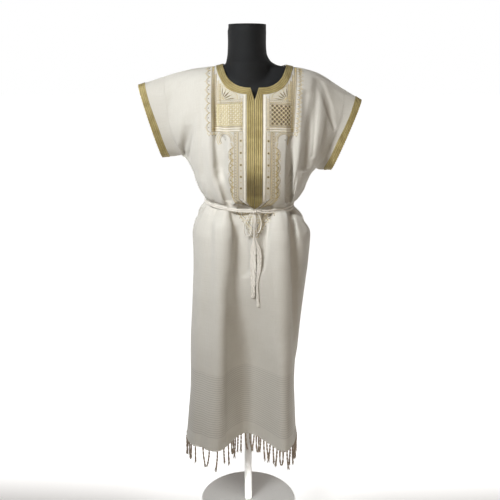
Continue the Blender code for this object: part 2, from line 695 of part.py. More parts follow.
def sleeve_cloth(front, back, hand):
    """A sleeve from its armhole seam to its cuff.

    s is the share of the way round from under the arm, and t goes from 0 at the seam to 1 at the cuff.
    """
    cuff = LEFT_CUFF if hand < 0 else RIGHT_CUFF
    low = np.array([cuff[name][1] for name in "x y z".split()])
    high = np.array([cuff[name][0] for name in "x y z".split()])
    s = np.linspace(0, 1, 121)
    t = np.linspace(0, 1, 25)
    edge = hand * HALF_WIDTH
    seams, leaves, normals = [], [], []
    for share in s:
        cloth = front if share <= 0.5 else back
        down = cloth.arm[hand] * abs(1 - 2 * share)
        place = cloth.at(edge, down)
        seams.append(place)
        leaves.append(unit(place - cloth.at(edge - hand * 0.008, down)))
        normals.append(unit(cloth.sample(cloth.normals, edge, down)))
    seams, leaves, normals = np.array(seams), np.array(leaves), np.array(normals)
    seams[0] = seams[-1] = (seams[0] + seams[-1]) / 2
    for values in (leaves, normals):
        values[0] = values[-1] = unit(values[0] + values[-1])
    turn = 2 * np.pi * s
    rise = ((1 - np.cos(turn)) / 2)[:, None]
    ends = low + (high - low) * rise
    ends[:, 1] -= CUFF_OPEN * np.sign(np.sin(turn)) * np.abs(np.sin(turn)) ** 0.8
    size = np.linalg.norm(ends - seams, axis=1)[:, None]
    v = t[:, None, None]
    seams = seams + leaves * SEAM_GAP * 0.6
    points = (
        seams * (1 + 2 * v) * (1 - v) ** 2
        + leaves * size * v * (1 - v) ** 2 * SLEEVE_PULL
        + ends * v**2 * (3 - 2 * v)
        + (ends - seams) * v**2 * (v - 1)
    )
    made = Cloth(points, s, t, -hand, wraps=True)
    made.normals[0] = normals
    made.length = np.linalg.norm(np.diff(points, axis=0), axis=2).sum(axis=0)
    return made


def clear_scene():
    for item in list(bpy.data.objects):
        bpy.data.objects.remove(item)


def material(name, colour, roughness, metallic=0.0):
    made = bpy.data.materials.new(name)
    made.use_nodes = True
    shader = made.node_tree.nodes["Principled BSDF"]
    shader.inputs["Base Color"].default_value = (*colour, 1.0)
    shader.inputs["Roughness"].default_value = roughness
    shader.inputs["Metallic"].default_value = metallic
    return made


def new_object(name, vertices, faces, finish):
    mesh = bpy.data.meshes.new(name)
    mesh.from_pydata([tuple(map(float, v)) for v in vertices], [], [list(map(int, f)) for f in faces])
    mesh.materials.append(finish)
    body = bmesh.new()
    body.from_mesh(mesh)
    bmesh.ops.recalc_face_normals(body, faces=body.faces)
    body.to_mesh(mesh)
    body.free()
    mesh.shade_smooth()
    mesh.set_sharp_from_angle(angle=math.radians(50))
    made = bpy.data.objects.new(name, mesh)
    bpy.context.scene.collection.objects.link(made)
    return made


def closed_between(name, outer, inner, faces, finish):
    """A closed solid between two copies of an open surface."""
    count = len(outer)
    seen = {}
    for face in faces:
        for a, b in zip(face, [*face[1:], face[0]]):
            seen[(a, b)] = True
    rims = [[b, a, count + a, count + b] for a, b in seen if (b, a) not in seen]
    under = [[count + i for i in reversed(face)] for face in faces]
    return new_object(name, np.concatenate([outer, inner]), [*faces, *under, *rims], finish)


def loft(name, rings, finish):
    """A closed solid through rings of places, its ends filled flat."""
    count, sides = rings.shape[:2]
    faces = ring_faces(count, sides)
    faces.append(list(range(sides))[::-1])
    faces.append([(count - 1) * sides + j for j in range(sides)])
    return new_object(name, rings.reshape(-1, 3), faces, finish)


def turned(name, profile, sides, finish):
    """A turned solid through (radius, z) pairs, its ends closed flat."""
    turn = np.linspace(0, 2 * math.pi, sides, endpoint=False)
    rings = [np.stack([r * np.cos(turn), r * np.sin(turn), np.full(sides, z)], 1) for r, z in profile]
    return loft(name, np.array(rings), finish)


def neck_arc(side, grown, steps):
    """Flat points along the neck opening's edge, grown outward, from the left shoulder to the right."""
    turn = np.linspace(-math.pi / 2, math.pi / 2, steps)
    power = 2 / NECK_SQUARE[side]
    s = (NECK_HALF_WIDTH + grown) * np.sign(turn) * np.abs(np.sin(turn)) ** power
    t = (NECK_DEPTH[side] + grown) * np.abs(np.cos(turn)) ** power
    return [(a, max(b, SEAM_GAP / 2)) for a, b in zip(s, t)]


def neck_edge(side, grown, s):
    """Flat t of the neck opening's edge, grown outward, at s."""
    power = NECK_SQUARE[side]
    return (NECK_DEPTH[side] + grown) * (1 - (s / (NECK_HALF_WIDTH + grown)) ** power) ** (1 / power)


def past_neck(s, t, side):
    """How far a flat point is outside the neck opening."""
    depth, power = NECK_DEPTH[side], NECK_SQUARE[side]
    low, high = -min(depth, NECK_HALF_WIDTH) * 0.99, 1.5
    for _ in range(40):
        middle = (low + high) / 2
        if (abs(s) / (NECK_HALF_WIDTH + middle)) ** power + (t / (depth + middle)) ** power > 1:
            low = middle
        else:
            high = middle
    return low


def beside_slit(s, t, side):
    """How far a flat point is to the side of the slit below the neck opening, less than zero inside it."""
    if side > 0:
        return 1.0
    return abs(s) - (NECK_DEPTH[side] + SLIT_DEPTH - t) * SLIT_HALF_WIDTH / SLIT_DEPTH


def placket_end(s):
    """Flat t of the placket's lower edge at s, less its point's own t."""
    return -abs(s) * PLACKET_POINT / PLACKET_HALF_WIDTH


def cut_panel(cloth):
    """Flat pattern of the front or back, with the lines of its braid: places and triangles."""
    side = cloth.side
    seam, edge, hem = SEAM_GAP / 2, HALF_WIDTH - SEAM_GAP / 2, t_at_level(cloth, HEM_Z)
    ring_t = t_at_level(cloth, RING_TOP_Z)
    rows = [t for t in TOP_STEPS if t < ring_t - 0.012] + [t_at_level(cloth, z) for z in RING_LEVELS]
    corner = NECK_HALF_WIDTH + BRAID_WIDTH
    shoulder = [corner + 0.012, *(c for c in COLUMNS[side] if c > corner + 0.02)]
    steps = NECK_STEPS[side]
    arc = neck_arc(side, 0.0, steps)
    if side < 0:
        mouth = neck_edge(side, 0.0, SLIT_HALF_WIDTH)
        slit = [(-SLIT_HALF_WIDTH, mouth), (0.0, NECK_DEPTH[side] + SLIT_DEPTH), (SLIT_HALF_WIDTH, mouth)]
        arc = [p for p in arc if p[0] < -0.015] + slit + [p for p in arc if p[0] > 0.015]
    outline = [(-edge, seam)] + [(-c, seam) for c in reversed(shoulder)]
    outline += [(-corner, seam), (-corner + BRAID_WIDTH / 2, seam)] + arc
    outline += [(corner - BRAID_WIDTH / 2, seam), (corner, seam)] + [(c, seam) for c in shoulder]
    outline += [(edge, seam)]
    right = sorted([*rows, cloth.arm[1]])
    left = sorted([*rows, cloth.arm[-1]])
    outline += [(edge, t) for t in right] + [(edge, hem)]
    columns = sorted([c * k for c in COLUMNS[side] for k in (-1, 1)] + [0.0])
    outline += [(s, hem) for s in reversed(columns)]
    outline += [(-edge, hem)] + [(-edge, t) for t in reversed(left)]
    lines = [neck_arc(side, BRAID_WIDTH, steps)]
    point = t_at_level(cloth, BELT_Z + PLACKET_ABOVE_BELT)
    if side < 0:
        cut = [t for t in rows if NECK_DEPTH[side] + BRAID_WIDTH < t < point - PLACKET_POINT]
        start = neck_edge(side, BRAID_WIDTH, PLACKET_HALF_WIDTH)
        for hand in (-1, 1):
            p = hand * PLACKET_HALF_WIDTH
            lines.append([(p, start), *((p, t) for t in cut), (p, point - PLACKET_POINT)])
            lines.append([(p, point - PLACKET_POINT), (p / 2, point - PLACKET_POINT / 2), (0.0, point)])
    places = list(outline)
    joins = [(i, (i + 1) % len(outline)) for i in range(len(outline))]
    for line in lines:
        joins += [(len(places) + i, len(places) + i + 1) for i in range(len(line) - 1)]
        places += line
    fixed = np.array(places)
    middle = [p for p in neck_arc(side, BRAID_WIDTH / 2, steps) if p[1] > 0.004]
    beyond = [p for p in neck_arc(side, BRAID_WIDTH + 0.012, steps - 4) if p[1] > 0.005]
    free = middle + beyond
    for t in rows:
        for s in columns:
            if t < 0.30 and past_neck(s, t, side) < BRAID_WIDTH + 0.019:
                continue
            free.append((s, t))
    free = [p for p in free if beside_slit(*p, side) > POINT_CLEAR]
    free = [p for p in free if np.min(np.hypot(*(fixed - p).T)) > POINT_CLEAR]
    places = [Vector(p) for p in places + free]
    found = geometry.delaunay_2d_cdt(places, joins, [list(range(len(outline)))], 1, 1e-7)
    places = np.array([tuple(p) for p in found[0]])
    places, faces = pick(places, [list(f) for f in found[2]], lambda s, t: beside_slit(s, t, side) > 0)
    return places, faces, point


def pick(places, faces, wanted):
    """The triangles whose middle is wanted, with only their own places."""
    chosen = [f for f in faces if wanted(*places[f].mean(axis=0))]
    used = sorted({i for f in chosen for i in f})
    number = {old: new for new, old in enumerate(used)}
    return places[used], [[number[i] for i in f] for f in chosen]


def panel(name, cloth, places, faces, finish):
    outer = cloth.at(places[:, 0], places[:, 1])
    inner = cloth.at(places[:, 0], places[:, 1], -WALL)
    return closed_between(name, outer, inner, faces, finish)


def neck_braid(front, back, cuts, finish):
    """One braid round the whole neck, over the front and back."""
    outer, inner, faces = [], [], []
    seam = {}
    for cloth in (front, back):
        places, triangles = pick(*cuts[cloth.side], lambda s, t: past_neck(s, t, cloth.side) < BRAID_WIDTH)
        low = cloth.at(places[:, 0], places[:, 1], TRIM_GAP)
        high = cloth.at(places[:, 0], places[:, 1], TRIM_GAP + BRAID_THICK)
        number = {}
        for i, (s, t) in enumerate(places):
            key = round(float(s), 4)
            if t < SEAM_GAP * 0.6 and key in seam:
                number[i] = seam[key]
                inner[seam[key]] = (inner[seam[key]] + low[i]) / 2
                outer[seam[key]] = (outer[seam[key]] + high[i]) / 2
                continue
            number[i] = len(outer)
            if t < SEAM_GAP * 0.6:
                seam[key] = len(outer)
            inner.append(low[i])
            outer.append(high[i])
        turn = 1 if cloth.side < 0 else -1
        faces += [[number[i] for i in f][::turn] for f in triangles]
    return closed_between("neck_braid", np.array(outer), np.array(inner), faces, finish)


def placket_braid(front, places, faces, point, finish):
    """The wide braid down the front, from the neck braid to its point at the belt."""

    def inside(s, t):
        past = past_neck(s, t, -1) if t < 0.2 else 1.0
        return past > BRAID_WIDTH and abs(s) < PLACKET_HALF_WIDTH and t < point + placket_end(s)

    places, faces = pick(places, faces, inside)
    places = places.copy()
    for i, (s, t) in enumerate(places):
        if t < 0.2 and past_neck(s, t, -1) < BRAID_WIDTH + 0.0001:
            places[i, 1] += SEAM_GAP
    low = front.at(places[:, 0], places[:, 1], TRIM_GAP)
    high = front.at(places[:, 0], places[:, 1], TRIM_GAP + BRAID_THICK)
    return closed_between("placket_braid", high, low, faces, finish)


def grid_faces(rows, columns, wraps):
    """Triangles of a grid of places whose columns may close on themselves."""
    faces = []
    for i in range(rows - 1):
        for j in range(columns if wraps else columns - 1):
            k = (j + 1) % columns
            faces.append([i * columns + j, i * columns + k, (i + 1) * columns + k])
            faces.append([i * columns + j, (i + 1) * columns + k, (i + 1) * columns + j])
    return faces


def sleeve_grid(cloth, front, back, hand):
    """s and t of a sleeve's places, its last rows at the braid's edge, its middle and the cuff."""
    shares = []
    for panel_cloth, turn in ((front, -1), (back, 1)):
        arm = panel_cloth.arm[hand]
        rows = [t for t in (*TOP_STEPS, t_at_level(panel_cloth, RING_TOP_Z)) if t < arm - 0.008]
        shares += [0.5 + turn * t / arm / 2 for t in rows]
    s = np.array(sorted({0.0, 0.5, *(round(v, 6) for v in shares)}))
    length = np.interp(s, cloth.s, cloth.length)
    t = [np.full(s.shape, v) for v in SLEEVE_ROWS]
    edge = 1 - BRAID_WIDTH / length
    t += [(edge + SLEEVE_ROWS[-1]) / 2, edge, 1 - BRAID_WIDTH / 2 / length, np.ones(s.shape)]
    return np.broadcast_to(s, (len(t), len(s))), np.array(t)


def sleeve(name, cloth, s, t, finish):
    faces = grid_faces(*s.shape, wraps=True)
    outer = cloth.at(s, t).reshape(-1, 3)
    return closed_between(name, outer, cloth.at(s, t, -WALL).reshape(-1, 3), faces, finish)


def cuff_braid(name, cloth, s, t, finish):
    s, t = s[-3:], t[-3:]
    faces = grid_faces(*s.shape, wraps=True)
    low = cloth.at(s, t, TRIM_GAP).reshape(-1, 3)
    high = cloth.at(s, t, TRIM_GAP + BRAID_THICK).reshape(-1, 3)
    return closed_between(name, high, low, faces, finish)


def swept(name, line, across, half_across, half_out, finish, section=OVAL):
    """A cord or ribbon along a line of places, wide in the direction across."""
    line = np.array(line)
    forward = unit(np.gradient(line, axis=0))
    across = np.array(across) - forward * np.sum(np.array(across) * forward, axis=1)[:, None]
    across = unit(across)
    out = np.cross(forward, across)
    rings = []
    for a, b in section:
        wide = across * (np.broadcast_to(half_across, len(line)) * a)[:, None]
        thick = out * (np.broadcast_to(half_out, len(line)) * b)[:, None]
        rings.append(line + wide + thick)
    return loft(name, np.array(rings).transpose(1, 0, 2), finish)


def belt_place(angle, level, out):
    """A place on the belt's path: out is the distance outside the body's unfolded section."""
    ring = body_ring(np.linspace(angle - 1, angle + 1, 3), np.full(3, level), folded=False)
    outward = unit(np.array([ring[2, 1] - ring[0, 1], ring[0, 0] - ring[2, 0], 0.0]))
    return ring[1] + outward * np.sign(outward @ (ring[1] * (1, 1, 0))) * out


def belt(finish):
    """The tie belt, two turns round the waist that leave and enter the knot."""
    out = BELT_OFF + BELT_THICK / 2
    first = np.linspace(BELT_END_ANGLE, 360 - BELT_END_ANGLE, BELT_STEPS)
    line = []
    for turned_by in (*first, *(first + 360)):
        angle = KNOT_ANGLE + turned_by
        rank = 0.5 if turned_by < 360 else -0.5
        beside = (angle % 360 - BELT_SPREAD_AT) / BELT_SPREAD_REACH
        apart = BELT_PITCH + BELT_SPREAD * math.exp(-(beside**2))
        line.append(belt_place(angle, BELT_Z + rank * apart, out))
    line = np.array(line)
    upright = np.tile([0.0, 0.0, 1.0], (len(line), 1))
    swept("belt", line, upright, BELT_HEIGHT / 2, BELT_THICK / 2, finish)


def knot(finish):
    """The belt's knot, in front of its two turns."""
    face = belt_place(KNOT_ANGLE, BELT_Z, BELT_OFF + BELT_THICK)
    turn = np.radians(np.arange(0, 360, 36))
    rings = []
    for level, size in ((-1, 0.62), (-0.6, 0.92), (0, 1.0), (0.6, 0.92), (1, 0.62)):
        x = KNOT_X + KNOT[0] * size * np.cos(turn)
        y = face[1] - 2 * TRIM_GAP - KNOT[1] + KNOT[1] * size * np.sin(turn)
        rings.append(np.stack([x, y, np.full(10, BELT_Z - KNOT_DROP + KNOT[2] * level)], 1))
    loft("belt_knot", np.array(rings), finish)


def hanging(name, cloth, rows, count, on_edge, finish, section):
    """A loop or end of the belt: x and z, how far its middle is off the cloth, and its half sizes."""
    keys = np.arange(len(rows["x"]), dtype=float)
    at = np.linspace(0, keys[-1], count)
    x, z, out, wide, thick = (smooth(keys, rows[name], at) for name in BOW_COLUMNS.split())
    s = x - CENTRE_SHIFT
    t = np.array([t_at_height(cloth, *pair) for pair in zip(s, z)])
    line = np.stack([x, cloth.at(s, t)[:, 1] - out, z], 1)
    across = cloth.sample(cloth.normals, s, t) if on_edge else cloth.at(s + 0.006, t) - cloth.at(s - 0.006, t)
    swept(name, line, across, wide, thick, finish, section)


def bow(cloth, finish):
    """The belt's knot, two small loops and two hanging ends."""
    knot(finish)
    hanging("belt_loop_left", cloth, LEFT_LOOP, 15, True, finish, OVAL)
    hanging("belt_loop_right", cloth, RIGHT_LOOP, 13, True, finish, OVAL)
    hanging("belt_end_left", cloth, LEFT_END, 19, False, finish, FLAT)
    hanging("belt_end_right", cloth, RIGHT_END, 19, False, finish, FLAT)


def fringe(name, cloth, finish):
    """Strands hanging from a narrow strip just below the hem."""
    hem = t_at_level(cloth, HEM_Z) + SEAM_GAP
    pitch = 2 * HALF_WIDTH / FRINGE_STRANDS
    centres = (np.arange(FRINGE_STRANDS) + 0.5) * pitch - HALF_WIDTH
    half = STRAND_WIDTH / 2
    ends = HALF_WIDTH - SEAM_GAP / 2
    s = np.sort(np.concatenate([[-ends, ends], centres - half, centres + half]))
    places, faces = [], []
    for out in (0.0002, 0.0002 - FRINGE_THICK):
        for t in (hem, hem + FRINGE_STRIP):
            places.append(cloth.at(s, t, out))
    count = len(s)
    places = np.concatenate(places)
    top_out, low_out, top_in, low_in = 0, count, 2 * count, 3 * count
    for j in range(count - 1):
        k = j + 1
        faces.append([top_out + j, top_out + k, low_out + k, low_out + j])
        faces.append([top_in + j, low_in + j, low_in + k, top_in + k])
        faces.append([top_out + j, top_in + j, top_in + k, top_out + k])
        if j % 2 == 0:
            faces.append([low_out + j, low_out + k, low_in + k, low_in + j])
    for j, turn in ((0, 1), (count - 1, -1)):
        faces.append([top_out + j, low_out + j, low_in + j, top_in + j][::turn])
    places = list(places)
    for n in range(FRINGE_STRANDS):
        j = 2 * n + 1
        root = [low_out + j, low_out + j + 1, low_in + j + 1, low_in + j]
        corners = np.array([places[i] for i in root])
        middle = corners.mean(axis=0)
        sway = np.array([math.sin(n * 2.4), 0.6 * math.sin(n * 1.7 + 1), 0.0]) * FRINGE_SWAY
        length = FRINGE_LENGTH * (1 + FRINGE_LENGTH_VARIES * math.sin(n * 3.1 + cloth.side))
        below = root
        for share, size in STRAND_SECTIONS:
            ring = middle + (corners - middle) * size + sway * share**2 - [0.0, 0.0, length * share]
            fresh = list(range(len(places), len(places) + 4))
            places += list(ring)
            for a in range(4):
                b = (a + 1) % 4
                faces.append([below[a], below[b], fresh[b], fresh[a]])
            below = fresh
        faces.append(below)
    return new_object(name, np.array(places), faces, finish)


def build():
    clear_scene()
    cotton = material("cotton", COTTON_COLOUR, 0.85)
    gold = material("gold_braid", GOLD_COLOUR, 0.5, 0.3)
    belt_cotton = material("belt_cotton", BELT_COLOUR, 0.8)
    fringe_cotton = material("fringe_cotton", FRINGE_COLOUR, 0.9)
    black = material("form_black", FORM_COLOUR, 0.55)
    white = material("stand_white", STAND_COLOUR, 0.35)

    tree = form_tree()
    front, back = body_cloth(-1, tree), body_cloth(1, tree)
    join_normals(front, back)
    places, faces, point = cut_panel(front)
    back_places, back_faces, _ = cut_panel(back)
    panel("front_panel", front, places, faces, cotton)
    panel("back_panel", back, back_places, back_faces, cotton)
    neck_braid(front, back, {-1: (places, faces), 1: (back_places, back_faces)}, gold)
    placket_braid(front, places, faces, point, gold)
    for word, hand in (("left", -1), ("right", 1)):
        cloth = sleeve_cloth(front, back, hand)
        s, t = sleeve_grid(cloth, front, back, hand)
        sleeve(f"sleeve_{word}", cloth, s, t, cotton)
        cuff_braid(f"cuff_braid_{word}", cloth, s, t, gold)
    belt(belt_cotton)
    bow(front, belt_cotton)
    fringe("fringe_front", front, fringe_cotton)
    fringe("fringe_back", back, fringe_cotton)
    loft("form_body", form_rings(np.unique([*FORM["z"], *FORM_BETWEEN]), FORM_SIDES), black)
    pole = [(POLE_RADIUS, FOOT_HEIGHT + TRIM_GAP), (POLE_RADIUS, FORM_BOTTOM_Z - TRIM_GAP)]
    turned("stand_pole", pole, 16, white)
    foot = [(FOOT_RADIUS, 0.0), (FOOT_RADIUS, FOOT_HEIGHT - FOOT_BEVEL)]
    foot.append((FOOT_RADIUS - FOOT_BEVEL, FOOT_HEIGHT))
    turned("stand_foot", foot, 40, white)


build()
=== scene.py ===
"""Looks of the kaftan dress on its limbless dress form.

Metres, +Z up, the front faces -Y and +X is on the right of a viewer in front.

The cloth is worked out in its own flat measures: s runs across the dress from the middle of the front or
back, and t runs down it from the shoulder seam. Cloth.at(s, t) gives the place of that bit as it hangs.
"""

import math

import bmesh
import bpy
import numpy as np
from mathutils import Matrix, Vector, geometry
from mathutils.bvhtree import BVHTree


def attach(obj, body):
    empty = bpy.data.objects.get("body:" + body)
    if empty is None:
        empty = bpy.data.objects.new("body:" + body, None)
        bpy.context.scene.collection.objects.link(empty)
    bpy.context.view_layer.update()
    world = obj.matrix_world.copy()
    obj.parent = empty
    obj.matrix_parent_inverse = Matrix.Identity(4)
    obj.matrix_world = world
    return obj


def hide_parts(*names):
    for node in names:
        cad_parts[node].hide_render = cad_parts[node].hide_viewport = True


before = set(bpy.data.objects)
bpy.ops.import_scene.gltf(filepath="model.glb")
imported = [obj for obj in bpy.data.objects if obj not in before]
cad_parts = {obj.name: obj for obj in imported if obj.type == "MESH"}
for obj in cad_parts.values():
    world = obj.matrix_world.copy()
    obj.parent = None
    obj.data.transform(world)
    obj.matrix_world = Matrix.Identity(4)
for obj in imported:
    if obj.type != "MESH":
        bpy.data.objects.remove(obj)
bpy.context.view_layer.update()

# Thickness of the solids' cloth and of the fine cloth, what is left between pieces, and how near the fine
# cloth's folds come to the dress form.
WALL = 0.0016
SHELL = 0.0009
SEAM_GAP = 0.0005
TRIM_GAP = 0.0004
FORM_GAP = 0.0006
CLEAR = 0.0022

# The dress. The middle keeps its flat size, and the sides take what the body needs. Where the front and back
# differ, -1 is the front and 1 the back.
HALF_WIDTH = 0.260
FLAT_MIDDLE = 0.090
CENTRE_SHIFT = 0.019
HEM_Z = 0.268
BELOW_HEM = 0.018
RING_TOP_Z = 1.105
SIDE_SEAM_ANGLE = 92.0
SHOULDER_Y = 0.008
SHOULDER_FORWARD = {-1: 0.34, 1: 0.32}
SHOULDER_FALL = 0.02
RING_PULL = 0.30
SLEEVE_PULL = 0.8

# The tie belt, two turns round the waist, and its knot. Angles are degrees round from the front, towards +X,
# but for the belt's ends, which are that far from the knot.
BELT_Z = 1.034
BELT_RISE = 0.0085
BELT_RISE_REACH = 0.06
BELT_HEIGHT = 0.0044
BELT_THICK = 0.0028
BELT_PITCH = 0.0048
BELT_OFF = 0.0016
BELT_SPREAD = 0.0058
BELT_SPREAD_AT = 80.0
BELT_SPREAD_REACH = 45.0
BELT_END_ANGLE = 4.5
BELT_TURN_PLACES = 90
BELT_PLACES = 520
WAIST_FRONT = 0.108
KNOT_ANGLE = math.degrees(math.atan2(CENTRE_SHIFT, WAIST_FRONT))
KNOT = (0.0075, 0.0045, 0.0075)
KNOT_X = 0.018
KNOT_DROP = 0.001
KNOT_STRIP = 0.0024

# The neck opening with its slit, and the braid round it and down to the belt.
NECK_HALF_WIDTH = 0.091
NECK_DEPTH = {-1: 0.131, 1: 0.046}
NECK_SQUARE = {-1: 2.8, 1: 2.2}
SLIT_DEPTH = 0.037
SLIT_HALF_WIDTH = 0.0115
BRAID_WIDTH = 0.020
BRAID_THICK = 0.0013
PLACKET_HALF_WIDTH = 0.0225
PLACKET_POINT = 0.032
PLACKET_ABOVE_BELT = 0.005

# The knotted fringe. Twists are in radians from end to end, and drops are shares of a strand's length.
FRINGE_STRANDS = 33
FRINGE_STRIP = 0.005
FRINGE_OUT = 0.0002
FRINGE_LENGTH = 0.064
PLY_OFF = 0.0014
PLY_RADIUS = 0.0018
LOOP_WIDE = 0.0060
LOOP_DROP = 0.82
LOOP_TWIST = 16.0
CORD_TWIST = 11.0
STRAND_KNOT_DROP = 0.74
STRAND_KNOT = (0.0015, 0.0016, 0.0021)
LOOSE_THREADS = 8
LOOSE_RADIUS = (0.0011, 0.0007)


def table(columns, *rows):
    """Named columns of a table, each an array."""
    return dict(zip(columns.split(), np.array(rows, float).T))


# Body sections of the dress, outer face, from the hem up. left and right are x, front and back are y,
# and square is 2 for an ellipse and more for a squarer plan.
SECTIONS = table(
    "z     left    right  front   back   square",
    (0.250, -0.205, 0.160, -0.140, 0.134, 2.8),
    (0.330, -0.197, 0.156, -0.138, 0.132, 2.8),
    (0.450, -0.187, 0.151, -0.134, 0.130, 2.7),
    (0.600, -0.183, 0.160, -0.133, 0.130, 2.6),
    (0.750, -0.174, 0.174, -0.132, 0.132, 2.5),
    (0.870, -0.169, 0.187, -0.132, 0.132, 2.4),
    (0.945, -0.170, 0.191, -0.130, 0.128, 2.4),
    (0.983, -0.161, 0.175, -0.125, 0.116, 2.3),
    (1.004, -0.150, 0.161, -0.118, 0.106, 2.3),
    (1.019, -0.136, 0.146, -0.112, 0.097, 2.3),
    (1.027, -0.128, 0.136, -0.108, 0.092, 2.3),
    (1.041, -0.128, 0.136, -0.108, 0.092, 2.3),
    (1.050, -0.136, 0.147, -0.118, 0.098, 2.3),
    (1.062, -0.143, 0.157, -0.124, 0.103, 2.3),
    (1.085, -0.152, 0.171, -0.130, 0.109, 2.3),
    (1.105, -0.157, 0.178, -0.133, 0.112, 2.3),
)

# Shoulder line of the dress, outer face, from one sleeve seam to the other.
SHOULDERS = table(
    "x      z",
    (-0.242, 1.4110),
    (-0.204, 1.4225),
    (-0.153, 1.4335),
    (-0.118, 1.4378),
    (-0.088, 1.4412),
    (-0.072, 1.4450),
    (0.020, 1.4490),
    (0.110, 1.4425),
    (0.131, 1.4382),
    (0.157, 1.4340),
    (0.198, 1.4230),
    (0.221, 1.4120),
    (0.257, 1.3890),
    (0.280, 1.3750),
)

# Where the panels' side edges run between the shoulder and the top body section. drop is the share of the
# way down, and open is how far the edge stands forward on the front and backward on the back.
EDGE_COLUMNS = "drop x z open"
LEFT_EDGE = table(
    EDGE_COLUMNS,
    (0.000, -0.242, 1.411, 0.0000),
    (0.060, -0.243, 1.392, 0.0200),
    (0.200, -0.240, 1.350, 0.0360),
    (0.450, -0.227, 1.270, 0.0400),
    (0.620, -0.212, 1.216, 0.0280),
    (0.700, -0.203, 1.193, 0.0150),
    (0.728, -0.200, 1.185, 0.0080),
    (0.740, -0.199, 1.182, 0.0006),
    (0.790, -0.186, 1.171, 0.0004),
    (0.870, -0.171, 1.148, 0.0004),
    (0.950, -0.160, 1.121, 0.0003),
    (1.000, -0.157, 1.105, 0.0000),
)
RIGHT_EDGE = table(
    EDGE_COLUMNS,
    (0.000, 0.280, 1.375, 0.0000),
    (0.060, 0.281, 1.356, 0.0200),
    (0.200, 0.275, 1.314, 0.0360),
    (0.450, 0.252, 1.236, 0.0400),
    (0.660, 0.226, 1.176, 0.0280),
    (0.750, 0.211, 1.152, 0.0150),
    (0.778, 0.207, 1.145, 0.0080),
    (0.790, 0.205, 1.142, 0.0006),
    (0.860, 0.194, 1.131, 0.0004),
    (0.930, 0.184, 1.118, 0.0003),
    (1.000, 0.178, 1.105, 0.0000),
)
LEFT_ARM_DROP = 0.740
RIGHT_ARM_DROP = 0.790
EDGE_REACH = 0.42

# Folds down the front, seen from the front. place is the x of the fold's middle, before and after are its
# half widths on the left and right, and depth goes into the dress, so a ridge is less than zero.
FOLD_COLUMNS = "z place before after depth"
FRONT_FOLDS = {
    "centre_trough": table(
        FOLD_COLUMNS,
        (0.250, -0.008, 0.096, 0.135, 0.124),
        (0.450, -0.010, 0.090, 0.135, 0.108),
        (0.600, -0.018, 0.074, 0.135, 0.082),
        (0.720, -0.030, 0.056, 0.125, 0.054),
        (0.800, -0.038, 0.042, 0.110, 0.036),
        (0.900, -0.044, 0.026, 0.090, 0.024),
        (0.960, -0.048, 0.018, 0.064, 0.019),
        (1.010, -0.050, 0.012, 0.032, 0.015),
        (1.034, -0.050, 0.009, 0.016, 0.010),
        (1.060, -0.056, 0.015, 0.022, 0.014),
        (1.105, -0.073, 0.020, 0.030, 0.014),
    ),
    "right_ridge": table(
        FOLD_COLUMNS,
        (0.250, 0.118, 0.050, 0.044, -0.022),
        (0.600, 0.112, 0.040, 0.040, -0.012),
        (0.900, 0.100, 0.030, 0.026, -0.006),
        (1.010, 0.094, 0.022, 0.022, -0.004),
        (1.034, 0.094, 0.015, 0.015, 0.000),
    ),
    "beside_panel": table(
        FOLD_COLUMNS,
        (0.840, 0.050, 0.030, 0.028, 0.000),
        (0.930, 0.054, 0.030, 0.028, 0.006),
        (1.005, 0.056, 0.026, 0.022, 0.012),
        (1.034, 0.056, 0.018, 0.016, 0.007),
        (1.060, 0.056, 0.018, 0.018, 0.003),
        (1.105, 0.056, 0.020, 0.020, 0.000),
    ),
    "right_crease": table(
        FOLD_COLUMNS,
        (0.250, 0.156, 0.012, 0.030, 0.004),
        (0.600, 0.146, 0.012, 0.034, 0.010),
        (0.890, 0.138, 0.013, 0.032, 0.014),
        (1.000, 0.126, 0.010, 0.018, 0.018),
        (1.034, 0.119, 0.008, 0.010, 0.012),
        (1.060, 0.120, 0.012, 0.015, 0.018),
        (1.105, 0.121, 0.014, 0.018, 0.019),
    ),
    "left_soft": table(
        FOLD_COLUMNS,
        (0.250, -0.150, 0.026, 0.026, 0.010),
        (0.600, -0.140, 0.024, 0.026, 0.007),
        (0.900, -0.110, 0.020, 0.022, 0.003),
        (1.010, -0.096, 0.016, 0.016, 0.004),
        (1.034, -0.094, 0.013, 0.013, 0.006),
        (1.060, -0.098, 0.015, 0.015, 0.008),
        (1.105, -0.112, 0.016, 0.018, 0.005),
    ),
}

